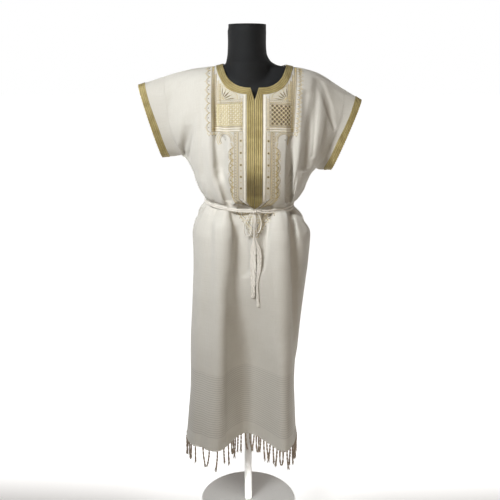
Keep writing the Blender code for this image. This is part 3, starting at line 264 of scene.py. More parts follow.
# Folds at the sides and back. place, before and after are degrees round from the front, towards +X.
SIDE_FOLDS = {
    "right_side_pleat": table(
        FOLD_COLUMNS,
        (0.890, 108, 14, 14, 0.000),
        (0.945, 100, 10, 14, 0.008),
        (0.985, 88, 8, 14, 0.017),
        (1.015, 74, 7, 11, 0.016),
        (1.034, 70, 7, 8, 0.010),
        (1.060, 72, 8, 9, 0.012),
        (1.105, 76, 9, 9, 0.005),
    ),
    "left_side_pleat": table(
        FOLD_COLUMNS,
        (0.890, -108, 14, 12, 0.000),
        (0.945, -100, 14, 9, 0.008),
        (0.985, -90, 15, 8, 0.016),
        (1.015, -80, 12, 7, 0.015),
        (1.034, -76, 9, 7, 0.010),
        (1.060, -76, 10, 9, 0.008),
        (1.105, -78, 10, 9, 0.003),
    ),
    "back_left": table(
        FOLD_COLUMNS,
        (0.250, -142, 24, 22, 0.040),
        (0.500, -144, 22, 20, 0.032),
        (0.760, -147, 16, 14, 0.018),
        (0.930, -149, 11, 9, 0.012),
        (1.034, -151, 7, 7, 0.010),
        (1.105, -149, 12, 12, 0.010),
    ),
    "back_middle": table(
        FOLD_COLUMNS,
        (0.250, 176, 17, 16, 0.026),
        (0.500, 177, 15, 15, 0.022),
        (0.760, 178, 11, 12, 0.014),
        (0.930, 179, 9, 9, 0.011),
        (1.034, 180, 7, 7, 0.010),
        (1.105, 180, 12, 12, 0.008),
    ),
    "back_right": table(
        FOLD_COLUMNS,
        (0.250, 136, 22, 20, 0.038),
        (0.500, 140, 20, 19, 0.030),
        (0.760, 144, 14, 14, 0.018),
        (0.930, 148, 10, 9, 0.012),
        (1.034, 151, 7, 7, 0.010),
        (1.105, 149, 12, 12, 0.010),
    ),
}

# Soft troughs across the top of the dress, each along a straight line seen from the front. left and right
# are the half widths on the two sides of the line, and top and low the depths at its two ends.
CREASE_COLUMNS = "x0 z0 x1 z1 left right top low"
FRONT_CREASES = table(
    CREASE_COLUMNS,
    (-0.155, 1.290, -0.174, 1.180, 0.050, 0.010, 0.004, 0.030),
    (-0.074, 1.250, -0.090, 1.090, 0.018, 0.032, 0.000, 0.014),
    (-0.128, 1.230, -0.132, 1.090, 0.016, 0.014, 0.000, 0.008),
    (0.198, 1.398, 0.163, 1.160, 0.020, 0.022, 0.006, 0.018),
    (0.212, 1.392, 0.262, 1.245, 0.016, 0.014, 0.006, 0.008),
    (0.119, 1.246, 0.120, 1.060, 0.014, 0.016, 0.000, 0.020),
    (0.150, 1.206, 0.141, 1.060, 0.014, 0.014, 0.000, 0.010),
    (-0.214, 1.412, -0.232, 1.330, 0.014, 0.018, 0.003, 0.008),
)
BACK_CREASES = table(
    CREASE_COLUMNS,
    (-0.160, 1.290, -0.178, 1.180, 0.044, 0.016, 0.004, 0.022),
    (0.165, 1.290, 0.186, 1.150, 0.016, 0.044, 0.004, 0.022),
    (-0.204, 1.400, -0.200, 1.240, 0.018, 0.018, 0.006, 0.010),
    (0.204, 1.396, 0.206, 1.220, 0.018, 0.018, 0.006, 0.012),
)

# Ends of each sleeve: the cuff's top and bottom.
CUFF_COLUMNS = "x y z"
LEFT_CUFF = table(CUFF_COLUMNS, (-0.321, 0.006, 1.386), (-0.256, 0.000, 1.176))
RIGHT_CUFF = table(CUFF_COLUMNS, (0.334, 0.006, 1.343), (0.250, 0.000, 1.139))
CUFF_OPEN = 0.038

# The belt's bow in front of the dress. out is how far the middle of the cord is off the cloth.
BOW_COLUMNS = "x z out wide thick"
LEFT_LOOP = table(
    BOW_COLUMNS,
    (0.0092, 1.0310, 0.0084, 0.0016, 0.0011),
    (0.0000, 1.0170, 0.0062, 0.0018, 0.0012),
    (-0.0095, 0.9990, 0.0044, 0.0020, 0.0012),
    (-0.0122, 0.9810, 0.0040, 0.0020, 0.0012),
    (-0.0050, 0.9640, 0.0040, 0.0020, 0.0012),
    (0.0060, 0.9680, 0.0042, 0.0020, 0.0012),
    (0.0108, 0.9880, 0.0046, 0.0018, 0.0012),
    (0.0126, 1.0100, 0.0062, 0.0016, 0.0011),
    (0.0138, 1.0249, 0.0088, 0.0014, 0.0009),
)
RIGHT_LOOP = table(
    BOW_COLUMNS,
    (0.0268, 1.0310, 0.0084, 0.0016, 0.0011),
    (0.0340, 1.0180, 0.0062, 0.0018, 0.0012),
    (0.0385, 1.0010, 0.0044, 0.0020, 0.0012),
    (0.0365, 0.9850, 0.0040, 0.0020, 0.0012),
    (0.0290, 0.9740, 0.0040, 0.0020, 0.0012),
    (0.0245, 0.9860, 0.0044, 0.0018, 0.0012),
    (0.0232, 1.0060, 0.0062, 0.0016, 0.0011),
    (0.0222, 1.0249, 0.0088, 0.0014, 0.0009),
)
LEFT_END = table(
    BOW_COLUMNS,
    (0.0166, 1.0249, 0.0088, 0.0011, 0.0009),
    (0.0165, 1.0050, 0.0040, 0.0013, 0.0008),
    (0.0165, 0.9650, 0.0030, 0.0014, 0.0008),
    (0.0160, 0.9450, 0.0034, 0.0040, 0.0008),
    (0.0155, 0.9200, 0.0038, 0.0085, 0.0007),
    (0.0150, 0.8600, 0.0040, 0.0090, 0.0007),
    (0.0145, 0.8300, 0.0040, 0.0080, 0.0007),
    (0.0150, 0.8000, 0.0042, 0.0068, 0.0007),
    (0.0140, 0.7680, 0.0045, 0.0066, 0.0007),
)
RIGHT_END = table(
    BOW_COLUMNS,
    (0.0195, 1.0249, 0.0088, 0.0011, 0.0009),
    (0.0198, 1.0050, 0.0040, 0.0012, 0.0008),
    (0.0200, 0.9650, 0.0030, 0.0012, 0.0008),
    (0.0265, 0.9440, 0.0030, 0.0030, 0.0008),
    (0.0325, 0.9180, 0.0034, 0.0062, 0.0007),
    (0.0330, 0.8850, 0.0036, 0.0066, 0.0007),
    (0.0300, 0.8480, 0.0036, 0.0052, 0.0007),
    (0.0272, 0.8200, 0.0038, 0.0034, 0.0007),
    (0.0280, 0.7800, 0.0042, 0.0038, 0.0007),
    (0.0305, 0.7390, 0.0045, 0.0056, 0.0007),
)

# Sections of the dress form under the cloth. left and right are x, front and back are y.
FORM = table(
    "z       left    right   front    back    square",
    (0.7900, -0.1400, 0.1400, -0.0860, 0.0920, 2.2),
    (0.8000, -0.1500, 0.1500, -0.0940, 0.1020, 2.2),
    (0.8600, -0.1580, 0.1580, -0.1020, 0.1120, 2.2),
    (0.9200, -0.1520, 0.1520, -0.1030, 0.1080, 2.2),
    (0.9800, -0.1340, 0.1340, -0.0950, 0.0940, 2.2),
    (1.0360, -0.1120, 0.1120, -0.0880, 0.0780, 2.2),
    (1.1000, -0.1220, 0.1220, -0.0980, 0.0840, 2.2),
    (1.1700, -0.1340, 0.1340, -0.1120, 0.0920, 2.2),
    (1.2250, -0.1420, 0.1420, -0.1180, 0.0970, 2.2),
    (1.2900, -0.1540, 0.1540, -0.1020, 0.0980, 2.3),
    (1.3450, -0.1740, 0.1740, -0.0780, 0.0900, 2.4),
    (1.3850, -0.1850, 0.1850, -0.0600, 0.0700, 2.4),
    (1.4060, -0.1890, 0.1890, -0.0450, 0.0540, 2.3),
    (1.4200, -0.1770, 0.1830, -0.0340, 0.0450, 2.2),
    (1.4300, -0.1380, 0.1540, -0.0280, 0.0430, 2.1),
    (1.4350, -0.1030, 0.1260, -0.0275, 0.0430, 2.0),
    (1.4387, -0.0785, 0.1035, -0.0330, 0.0435, 2.0),
    (1.4435, -0.0670, 0.0830, -0.0450, 0.0440, 2.0),
    (1.4560, -0.0620, 0.0640, -0.0640, 0.0440, 2.0),
    (1.4750, -0.0590, 0.0545, -0.0670, 0.0440, 2.0),
    (1.5100, -0.0575, 0.0510, -0.0680, 0.0440, 2.0),
    (1.5350, -0.0580, 0.0515, -0.0680, 0.0440, 2.0),
    (1.5480, -0.0540, 0.0460, -0.0620, 0.0390, 2.0),
    (1.5550, -0.0420, 0.0340, -0.0500, 0.0270, 2.0),
)
FORM_BOTTOM_Z = 0.790
FORM_SHOULDER_Z = 1.40

# The front of the dress form's neck, where it runs down into the chest between the shoulders.
NECK_ROOT = table(
    "z       left    right   front    back",
    (1.3300, -0.0700, 0.0700, -0.0600, 0.0100),
    (1.3850, -0.0700, 0.0700, -0.0622, 0.0100),
    (1.4200, -0.0680, 0.0690, -0.0635, 0.0100),
    (1.4387, -0.0650, 0.0670, -0.0640, 0.0100),
    (1.4560, -0.0600, 0.0610, -0.0640, 0.0100),
    (1.4750, -0.0560, 0.0520, -0.0635, 0.0100),
)
ROOT_BLEND = 60

# The fine grid of the front and back: its columns, and its rows from the shoulder to the top body section,
# from there to the hips and from the hips to the hem.
GRID_COLUMNS = 223
TOP_ROWS = 118
WAIST_ROWS = 60
SKIRT_ROWS = 90

# How softly the cloth is moved off the dress form, how near the form is looked for, and how far inside it
# still counts.
FORM_BLEND = 0.004
FORM_NEAR = 0.06
FORM_INSIDE = 0.03

# Where the front's folds are softened: s and z limits, and how often.
SOFTER = ((-0.165, -0.050, 1.050, 1.290, 26), (0.075, 0.160, 1.060, 1.270, 8))
SOFT_S = 0.020
SOFT_Z = 0.030

# Sharper folds of the front, in the fine cloth only.
FINE_FOLDS = table(
    CREASE_COLUMNS,
    (-0.080, 1.235, -0.078, 1.165, 0.022, 0.030, 0.0120, 0.0120),
    (-0.078, 1.140, -0.058, 1.060, 0.016, 0.022, 0.0080, 0.0140),
    (-0.170, 1.262, -0.196, 1.176, 0.024, 0.012, 0.0020, 0.0120),
    (-0.137, 1.222, -0.125, 1.077, 0.009, 0.009, 0.0005, 0.0025),
    (0.119, 1.237, 0.118, 1.060, 0.011, 0.013, 0.0060, 0.0260),
    (0.144, 1.156, 0.130, 1.068, 0.006, 0.006, 0.0010, 0.0060),
    (0.166, 1.360, 0.164, 1.150, 0.020, 0.024, 0.0060, 0.0010),
    (0.197, 1.397, 0.187, 1.187, 0.006, 0.009, 0.0010, 0.0045),
    (0.201, 1.390, 0.256, 1.260, 0.009, 0.006, 0.0010, 0.0045),
    (-0.026, 1.030, -0.018, 0.860, 0.026, 0.045, 0.0240, 0.0140),
    (-0.064, 1.022, -0.060, 0.860, 0.024, 0.018, -0.0080, -0.0030),
    (-0.084, 0.980, -0.080, 0.330, 0.030, 0.066, -0.0150, -0.0030),
    (-0.050, 0.960, -0.050, 0.760, 0.020, 0.024, -0.0030, -0.0050),
    (0.104, 1.000, 0.142, 0.300, 0.075, 0.020, -0.0150, -0.0020),
    (-0.064, 0.793, -0.062, 0.292, 0.015, 0.040, 0.0030, 0.0090),
    (0.128, 1.025, 0.151, 0.292, 0.009, 0.017, 0.0110, 0.0070),
    (0.128, 1.030, 0.161, 0.996, 0.009, 0.007, -0.0020, -0.0030),
    (0.162, 0.994, 0.177, 0.960, 0.009, 0.007, -0.0020, -0.0020),
    (-0.125, 1.053, -0.152, 0.999, 0.009, 0.009, 0.0080, 0.0030),
    (-0.104, 1.054, -0.113, 0.989, 0.006, 0.006, 0.0030, 0.0005),
    (-0.023, 1.030, -0.020, 0.980, 0.007, 0.006, 0.0030, 0.0005),
    (0.064, 1.030, 0.043, 0.870, 0.034, 0.012, 0.0120, 0.0040),
    (0.095, 1.039, 0.102, 0.980, 0.006, 0.009, 0.0025, 0.0005),
    (-0.157, 0.843, -0.119, 0.831, 0.006, 0.006, 0.0003, 0.0012),
    (-0.155, 0.796, -0.107, 0.812, 0.006, 0.006, 0.0012, 0.0003),
    (-0.159, 0.758, -0.123, 0.750, 0.006, 0.006, 0.0006, 0.0014),
    (-0.123, 0.750, -0.102, 0.765, 0.006, 0.006, 0.0014, 0.0003),
    (0.155, 0.874, 0.179, 0.890, 0.006, 0.006, 0.0003, 0.0010),
    (0.151, 0.802, 0.177, 0.815, 0.006, 0.006, 0.0010, 0.0003),
)

# Cords side by side in a braid, and their height from edge to edge as a share of its thickness.
CORDS = 4.0
CORD_PROFILE = (
    *((0.000, 0.10), (0.010, 0.70), (0.060, 1.00), (0.125, 1.12), (0.190, 1.00), (0.235, 0.70)),
    *((0.250, 0.45), (0.265, 0.70), (0.310, 1.00), (0.375, 1.12), (0.440, 1.00), (0.480, 0.65)),
    *((0.500, 0.25), (0.520, 0.65), (0.560, 1.00), (0.625, 1.12), (0.690, 1.00), (0.735, 0.70)),
    *((0.750, 0.45), (0.765, 0.70), (0.810, 1.00), (0.875, 1.12), (0.940, 1.00), (0.990, 0.70)),
    (1.000, 0.10),
)

RIB_TOP = 0.520
RIB_LOW = 0.305
RIB_PITCH = 0.0075
RIB_HEIGHT = 0.00035

# Ground of close stitches under the needlework: flat s and t limits, colour, and how closely it is covered.
# The right-hand copies are darker than the left ones: painted shade on the side away from the light.
WORKED = (
    (-0.1085, -0.0350, 0.1755, 0.2385, (0.68, 0.61, 0.33), 0.70),
    (0.0430, 0.1085, 0.1755, 0.2385, (0.42, 0.33, 0.20), 0.65),
    (-0.0960, -0.0410, 0.0600, 0.1660, (0.66, 0.59, 0.36), 0.30),
    (0.0410, 0.0960, 0.0600, 0.1660, (0.60, 0.52, 0.33), 0.30),
    (-0.0575, -0.0325, 0.2565, 0.4470, (0.60, 0.52, 0.35), 0.30),
    (0.0325, 0.0575, 0.2565, 0.4470, (0.56, 0.48, 0.33), 0.35),
)

COTTON = ((0.76, 0.745, 0.695), (0.65, 0.63, 0.575))
BELT_COTTON = ((0.92, 0.89, 0.83), (0.82, 0.78, 0.71))
GOLD = ((0.62, 0.52, 0.25), (0.33, 0.26, 0.095), (0.12, 0.085, 0.03))
FRINGE_COTTON = ((0.50, 0.41, 0.32), (0.30, 0.235, 0.18))
SILKS = {
    "gold": ((0.70, 0.58, 0.28), (0.46, 0.355, 0.145)),
    "tan": ((0.43, 0.345, 0.20), (0.29, 0.22, 0.12)),
    "brown": ((0.20, 0.15, 0.092), (0.12, 0.088, 0.052)),
}
CREAM_SILK = ((0.90, 0.87, 0.79), (0.80, 0.76, 0.66))
STAND_WHITE = (0.90, 0.90, 0.89)

# Heights between which the placket's braid is darkened brown as painted shade: it fades in from the first to
# the second, and out again from the fourth to the third.
PLACKET_SHADE_HEIGHTS = (1.150, 1.128, 1.068, 1.085)

# Distance between the fine cloth's places, and less of it between two flat t limits, for the folds near the
# belt.
PANEL_PITCH = {-1: 0.0045, 1: 0.0055}
FINER = (0.215, 0.520)
FINER_PITCH = 0.0031

# Flat t below the neck opening and its slit.
OPENING_LOW = 0.20

# Flat measures of the needlework: s from the middle of the placket, and t down from the shoulder.
YOKE_LOW = 0.2400
YOKE_MIDDLE = 0.1690
INNER_EDGE = 0.0325
DENSE_EDGE = 0.0430
OPEN_EDGE = 0.0350
BAND_EDGE = 0.1085
OUTER_EDGE = 0.1235
TOP = 0.024
LATTICE = 0.0126
BAND_LOW = 0.447
BAND_LINES = (0.0325, 0.0450, 0.0480, 0.0575)
BAND_ZIGZAG = 0.0528
EYELETS = 0.0388
EYELET_PITCH = 0.0335

# The arch at the top of the side band: its middle and radius.
ARCH = (0.0835, 0.2790, 0.0175)

# Leaves of the fan: angle in degrees, length and width.
FAN = (
    (4, 0.040, 0.0030),
    (24, 0.031, 0.0036),
    (45, 0.034, 0.0042),
    (66, 0.031, 0.0036),
    (86, 0.040, 0.0030),
)

# How far stitches stand off the cloth.
STITCH_GAP = 0.00006

LENS = 50.4
CAMERA_PLACE = (0.006, -2.1, 1.45)
CAMERA_TILT = 75
FLOOR_REACH = 30.0
FLOOR_Z = -0.001
CEILING = (0.105, 0.088, 0.073)

# Lamps: name, place, where it points, its two sizes, power, colour and spread in degrees.
LAMPS = (
    ("window", (-0.94, -1.33, 2.27), (0.06, 0.0, 0.98), (0.6, 0.6), 4.6, (0.97, 0.985, 0.985), 58),
    ("room", (1.05, -2.5, 0.90), (0.1, 0.0, 0.70), (1.0, 1.0), 11.5, (1.0, 0.89, 0.75), 180),
    ("low", (0.0, -1.2, 0.10), (0.02, 0.10, 0.00), (0.7, 0.06), 0.7, (1.0, 1.0, 1.0), 16),
)


def lengths(line):
    """Distance along a line of points to each of them."""
    return np.concatenate([[0.0], np.cumsum(np.linalg.norm(np.diff(line, axis=0), axis=1))])


def smooth(keys, values, at):
    """A smooth line through a table's rows that never swings past them."""
    at = np.clip(np.asarray(at, float), keys[0], keys[-1])
    step = np.diff(keys)
    rise = np.diff(values) / step
    slope = np.zeros(len(keys))
    slope[0], slope[-1] = rise[0], rise[-1]
    product = rise[:-1] * rise[1:]
    total = np.where(product > 0, rise[:-1] + rise[1:], 1.0)
    slope[1:-1] = np.where(product > 0, 2 * product / total, 0.0)
    i = np.clip(np.searchsorted(keys, at, side="right") - 1, 0, len(keys) - 2)
    u = (at - keys[i]) / step[i]
    return (
        values[i] * (1 + 2 * u) * (1 - u) ** 2
        + slope[i] * step[i] * u * (1 - u) ** 2
        + values[i + 1] * u * u * (3 - 2 * u)
        + slope[i + 1] * step[i] * u * u * (u - 1)
    )


def curved(start, leave, end, arrive, share):
    """Places between a start and an end, on a curve that leaves and arrives in given directions."""
    return (
        start * (1 + 2 * share) * (1 - share) ** 2
        + leave * share * (1 - share) ** 2
        + end * share**2 * (3 - 2 * share)
        + arrive * share**2 * (share - 1)
    )


def column(rows, name, at, key="z"):
    """A column of a table at any value of its key column."""
    return smooth(rows[key], rows[name], at)


def lobe(distance):
    """1 in the middle of a fold, 0 from its edge on."""
    return np.where(np.abs(distance) < 1, np.cos(distance * math.pi / 2) ** 2, 0.0)


def ease(share):
    """0 up to 0 and 1 from 1 on, with a soft rise between."""
    share = np.clip(share, 0, 1)
    return share * share * (3 - 2 * share)


def unit(vectors):
    """The vectors, each with a length of 1."""
    return vectors / np.linalg.norm(vectors, axis=-1)[..., None]


def squared_ring(angle, rows, level):
    """Plan of a table's section: x and y at an angle in degrees round from the front, towards +X."""
    names = "left right front back square".split()
    left, right, front, back, square = (column(rows, name, level) for name in names)
    turn = np.radians(angle)
    across, ahead = np.sin(turn), np.cos(turn)
    x = np.abs(across) ** (2 / square) * np.where(across < 0, left, right)
    y = np.abs(ahead) ** (2 / square) * np.where(ahead > 0, front, back)
    return x, y


def belt_lift(angle):
    """How much higher the belt is at an angle than at the front."""
    turn = np.radians(angle)
    return BELT_RISE * (1 - np.cos(turn) - np.sin(turn))


def body_ring(angle, level, folded=True):
    """Places round the dress's outer face below the arms, on the section for a level that the belt lifts."""
    z = level + belt_lift(angle) * np.exp(-(((level - BELT_Z) / BELT_RISE_REACH) ** 2))
    x, y = squared_ring(angle, SECTIONS, level)
    if not folded:
        return np.stack([x, y, z], -1)
    radius = np.hypot(x, y)
    dent = np.zeros_like(radius)
    for fold in SIDE_FOLDS.values():
        away = (angle - column(fold, "place", level) + 180) % 360 - 180
        wide = np.where(away < 0, column(fold, "before", level), column(fold, "after", level))
        dent = dent + column(fold, "depth", level) * lobe(away / wide)
    x, y = x * (1 - dent / radius), y * (1 - dent / radius)
    in_front = ease(-y / 0.05)
    for fold in FRONT_FOLDS.values():
        away = x - column(fold, "place", level)
        wide = np.where(away < 0, column(fold, "before", level), column(fold, "after", level))
        y = y + column(fold, "depth", level) * lobe(away / wide) * in_front
    return np.stack([x, y, z], -1)


def crease_depth(creases, x, z):
    """Depth at (x, z) of all the creases together."""
    depth = np.zeros_like(x)
    for x0, z0, x1, z1, left, right, top, low in zip(*(creases[name] for name in CREASE_COLUMNS.split())):
        run, fall = x1 - x0, z1 - z0
        length = math.hypot(run, fall)
        share = ((x - x0) * run + (z - z0) * fall) / length**2
        along = np.clip(share, 0, 1)
        aside = ((x - x0) * fall - (z - z0) * run) / length
        beyond = (share - along) * length
        away = np.hypot(aside / np.where(aside > 0, left, right), beyond * 2 / (left + right))
        depth = depth + (top + (low - top) * ease(along)) * lobe(away)
    return depth


def form_rings(heights, sides):
    """Rings of places round the dress form, with its neck run softly into its chest."""
    turn = np.linspace(0, 360, sides, endpoint=False)
    rings = []
    for z in heights:
        x, y = squared_ring(turn, FORM, z)
        reach = np.hypot(x, y)
        wide = np.where(x < 0, column(NECK_ROOT, "left", z), column(NECK_ROOT, "right", z))
        deep = np.where(y < 0, column(NECK_ROOT, "front", z), column(NECK_ROOT, "back", z))
        root = 1 / np.hypot(x / reach / wide, y / reach / deep)
        grown = (1 + (root / reach) ** ROOT_BLEND) ** (1 / ROOT_BLEND)
        rings.append(np.stack([x * grown, y * grown, np.full(sides, z)], 1))
    return np.array(rings)


def form_tree():
    """The smooth dress form, to find what is near it."""
    even = [np.arange(FORM_BOTTOM_Z, FORM_SHOULDER_Z, 0.02), np.arange(FORM_SHOULDER_Z, 1.55, 0.003)]
    heights = np.unique(np.concatenate([FORM["z"], *even]))
    rings = form_rings(heights, 72)
    faces = ring_faces(len(heights), 72)
    return BVHTree.FromPolygons([tuple(p) for p in rings.reshape(-1, 3)], faces)


def keep_off(points, tree, least):
    """The points, moved out of the form and off it where they come nearer than least."""
    moved = points.reshape(-1, 3).copy()
    for i, place in enumerate(moved):
        near, normal, _, away = tree.find_nearest(Vector(place), FORM_NEAR)
        if near is None or place[2] < FORM_BOTTOM_Z:
            continue
        out = away if (Vector(place) - near).dot(normal) * outward_sign(near, normal) > 0 else -away
        if out < -FORM_INSIDE or out > least + FORM_BLEND:
            continue
        share = min(max(0.5 + 0.5 * (least - out) / FORM_BLEND, 0.0), 1.0)
        target = out + (least - out) * share + FORM_BLEND * share * (1 - share)
        moved[i] = place + np.array(normal * outward_sign(near, normal)) * (target - out)
    return moved.reshape(points.shape)


def outward_sign(near, normal):
    """1 when the normal of a face of the form points away from its middle."""
    middle = Vector((0.0, 0.0, min(near.z, FORM_SHOULDER_Z)))
    return 1.0 if (near - middle).dot(normal) > 0 else -1.0


class Cloth:
    """A fine grid of places on hanging cloth. Its rows are at flat distances t and its columns at s."""

    def __init__(self, points, s, t, side, wraps=False):
        self.points, self.s, self.t, self.wraps = points, s, t, wraps
        grid = np.concatenate([points[:, -2:-1], points, points[:, 1:2]], 1) if wraps else points
        down = np.gradient(grid, axis=0)
        across = np.gradient(grid, axis=1)
        if wraps:
            down, across = down[:, 1:-1], across[:, 1:-1]
        self.normals = unit(np.cross(across, down) * side)

    def sample(self, grid, s, t):
        """A value for each flat point, from a grid with one at each place."""
        s, t = np.broadcast_arrays(np.asarray(s, float), np.asarray(t, float))
        a = np.clip(np.interp(s, self.s, np.arange(len(self.s))), 0, len(self.s) - 1.0001)
        b = np.clip(np.interp(t, self.t, np.arange(len(self.t))), 0, len(self.t) - 1.0001)
        i, j = a.astype(int), b.astype(int)
        u, v = (a - i)[..., None], (b - j)[..., None]
        top = grid[j, i] * (1 - u) + grid[j, i + 1] * u
        low = grid[j + 1, i] * (1 - u) + grid[j + 1, i + 1] * u
        return top * (1 - v) + low * v

    def at(self, s, t, out=0.0):
        """Place of flat point (s, t), moved out from the cloth's outer face."""
        return self.sample(self.points, s, t) + out * unit(self.sample(self.normals, s, t))


def spread(s, left, right):
    """Length along a row for flat measure s: the middle keeps its size and the sides share the rest."""
    whole = np.where(s < 0, left, right)
    outer = FLAT_MIDDLE + (np.abs(s) - FLAT_MIDDLE) * (whole - FLAT_MIDDLE) / (HALF_WIDTH - FLAT_MIDDLE)
    return np.sign(s) * np.where(np.abs(s) < FLAT_MIDDLE, np.abs(s), outer)


def ring_rows(side, s, levels):
    """Rows of places round the front or back of the body."""
    rows = []
    limit = SIDE_SEAM_ANGLE if side < 0 else 180 - SIDE_SEAM_ANGLE
    turn = np.linspace(-limit, limit, 721)
    near = np.abs(turn) < 40
    for level in levels:
        ring = body_ring(turn if side < 0 else 180 - turn, np.full(turn.shape, level))
        length = lengths(ring)
        length -= np.interp(CENTRE_SHIFT, ring[near, 0], length[near])
        wanted = spread(s, -length[0], length[-1])
        rows.append(np.stack([np.interp(wanted, length, ring[:, i]) for i in range(3)], 1))
    return np.array(rows)


def edge_line(rows, drop, side):
    """Places down a panel's side edge, where drop is the share of the way from the shoulder."""
    opened = SHOULDER_Y * (1 - drop) + side * column(rows, "open", drop, "drop")
    return np.stack([column(rows, "x", drop, "drop"), opened, column(rows, "z", drop, "drop")], -1)


def top_rows(side, s, count, ring, below):
    """Rows of places from the shoulder line down to the top body section."""
    drop = np.linspace(0, 1, count)[:-1, None, None]
    x = s + CENTRE_SHIFT
    start = np.stack([x, np.full(x.shape, SHOULDER_Y), column(SHOULDERS, "z", x, "x")], 1)
    forward = np.full(x.shape, side * SHOULDER_FORWARD[side])
    leave = np.stack([np.zeros_like(x), forward, np.full(x.shape, -SHOULDER_FALL)], 1)
    curve = curved(start, leave, ring, unit(below - ring) * RING_PULL, drop)
    share = np.abs(s) / HALF_WIDTH
    pull = ease((share - 1 + EDGE_REACH) / EDGE_REACH)
    drop = drop[:, 0, 0]
    for rows, end, on_side in ((LEFT_EDGE, 0, s < 0), (RIGHT_EDGE, -1, s > 0)):
        gap = edge_line(rows, drop, side) - curve[:, end]
        curve = curve + np.where(on_side, pull, 0.0)[None, :, None] * gap[:, None, :]
    creases = FRONT_CREASES if side < 0 else BACK_CREASES
    fade = ease(drop * 6)[:, None] * ease((1 - drop) * 7)[:, None] * (1 - pull**6)
    curve[..., 1] -= side * crease_depth(creases, curve[..., 0], curve[..., 2]) * fade
    return curve


def softened(points, s, left, right, low, high, times):
    """The grid of places with the folds in one part of it made rounder."""
    z = points[..., 2]
    share = ease((s - left) / SOFT_S) * ease((right - s) / SOFT_S)
    share = share * ease((z - low) / SOFT_Z) * ease((high - z) / SOFT_Z)
    for _ in range(times):
        beside = (np.roll(points, 1, axis=1) + np.roll(points, -1, axis=1)) / 2
        above = (np.roll(points, 1, axis=0) + np.roll(points, -1, axis=0)) / 2
        points = points + (beside * 0.35 + above * 0.15 - points * 0.5) * share[..., None]
    return points


def body_cloth(side, tree):
    """The front (side -1) or back (side 1) of the dress as it hangs."""
    s = np.linspace(-HALF_WIDTH, HALF_WIDTH, GRID_COLUMNS)
    hips = SECTIONS["z"][6]
    waist = np.linspace(RING_TOP_Z, hips, WAIST_ROWS)[:-1]
    levels = np.concatenate([waist, np.linspace(hips, HEM_Z - BELOW_HEM, SKIRT_ROWS)])
    rings = ring_rows(side, s, levels)
    tops = top_rows(side, s, TOP_ROWS + 1, rings[0], rings[1])
    points = keep_off(np.concatenate([tops, rings]), tree, WALL + FORM_GAP)
    if side < 0:
        for part in SOFTER:
            points = softened(points, s, *part)
    steps = np.linalg.norm(np.diff(points, axis=0), axis=2)
    straight = (np.abs(s) > 0.03) & (np.abs(s) < FLAT_MIDDLE)
    t = np.concatenate([[0.0], np.cumsum(steps[:, straight].mean(axis=1))])
    made = Cloth(points, s, t, side)
    made.side = side
    made.levels = levels
    made.arm = {-1: float(t[int(LEFT_ARM_DROP * TOP_ROWS)]), 1: float(t[int(RIGHT_ARM_DROP * TOP_ROWS)])}
    return made


def t_at_level(cloth, level):
    """Flat distance from the shoulder to a level of the body sections."""
    return float(np.interp(-level, -cloth.levels, cloth.t[TOP_ROWS:]))


def t_at_height(cloth, s, z):
    """Flat distance from the shoulder to height z at s."""
    heights = cloth.sample(cloth.points, np.full(len(cloth.t), s), cloth.t)[:, 2]
    return float(np.interp(-z, -heights, cloth.t))


def join_normals(front, back):
    """Give the front and back the same normals where they are sewn together."""
    both = unit(front.normals[0] + back.normals[0])
    front.normals[0] = back.normals[0] = both
    rows = np.arange(len(front.t))
    for end, drop in ((0, LEFT_ARM_DROP), (-1, RIGHT_ARM_DROP)):
        share = ease((rows / TOP_ROWS - drop + 0.22) / 0.20)[:, None]
        both = unit(front.normals[:, end] + back.normals[:, end])
        for cloth in (front, back):
            cloth.normals[:, end] = unit(cloth.normals[:, end] * (1 - share) + both * share)


def sleeve_cloth(front, back, hand):
    """A sleeve from its armhole seam to its cuff.

    s is the share of the way round from under the arm, and t goes from 0 at the seam to 1 at the cuff.
    """
    cuff = LEFT_CUFF if hand < 0 else RIGHT_CUFF
    low = np.array([cuff[name][1] for name in "x y z".split()])
    high = np.array([cuff[name][0] for name in "x y z".split()])
    s = np.linspace(0, 1, 121)
    t = np.linspace(0, 1, 25)
    edge = hand * HALF_WIDTH
    seams, leaves, normals = [], [], []
    for share in s:
        cloth = front if share <= 0.5 else back
        down = cloth.arm[hand] * abs(1 - 2 * share)
        place = cloth.at(edge, down)
        seams.append(place)
        leaves.append(unit(place - cloth.at(edge - hand * 0.008, down)))
        normals.append(unit(cloth.sample(cloth.normals, edge, down)))
    seams, leaves, normals = np.array(seams), np.array(leaves), np.array(normals)
    seams[0] = seams[-1] = (seams[0] + seams[-1]) / 2
    for values in (leaves, normals):
        values[0] = values[-1] = unit(values[0] + values[-1])
    turn = 2 * np.pi * s
    rise = ((1 - np.cos(turn)) / 2)[:, None]
    ends = low + (high - low) * rise
    ends[:, 1] -= CUFF_OPEN * np.sign(np.sin(turn)) * np.abs(np.sin(turn)) ** 0.8
    pull = leaves * np.linalg.norm(ends - seams, axis=1)[:, None] * SLEEVE_PULL
    seams = seams + leaves * SEAM_GAP * 0.6
    points = curved(seams, pull, ends, ends - seams, t[:, None, None])
    made = Cloth(points, s, t, -hand, wraps=True)
    made.normals[0] = normals
    made.length = np.linalg.norm(np.diff(points, axis=0), axis=2).sum(axis=0)
    return made


def neck_arc(side, grown, steps):
    """Flat points along the neck opening's edge, grown outward, from the left shoulder to the right."""
    turn = np.linspace(-math.pi / 2, math.pi / 2, steps)
    power = 2 / NECK_SQUARE[side]
    s = (NECK_HALF_WIDTH + grown) * np.sign(turn) * np.abs(np.sin(turn)) ** power
    t = (NECK_DEPTH[side] + grown) * np.abs(np.cos(turn)) ** power
    return [(a, max(b, SEAM_GAP / 2)) for a, b in zip(s, t)]


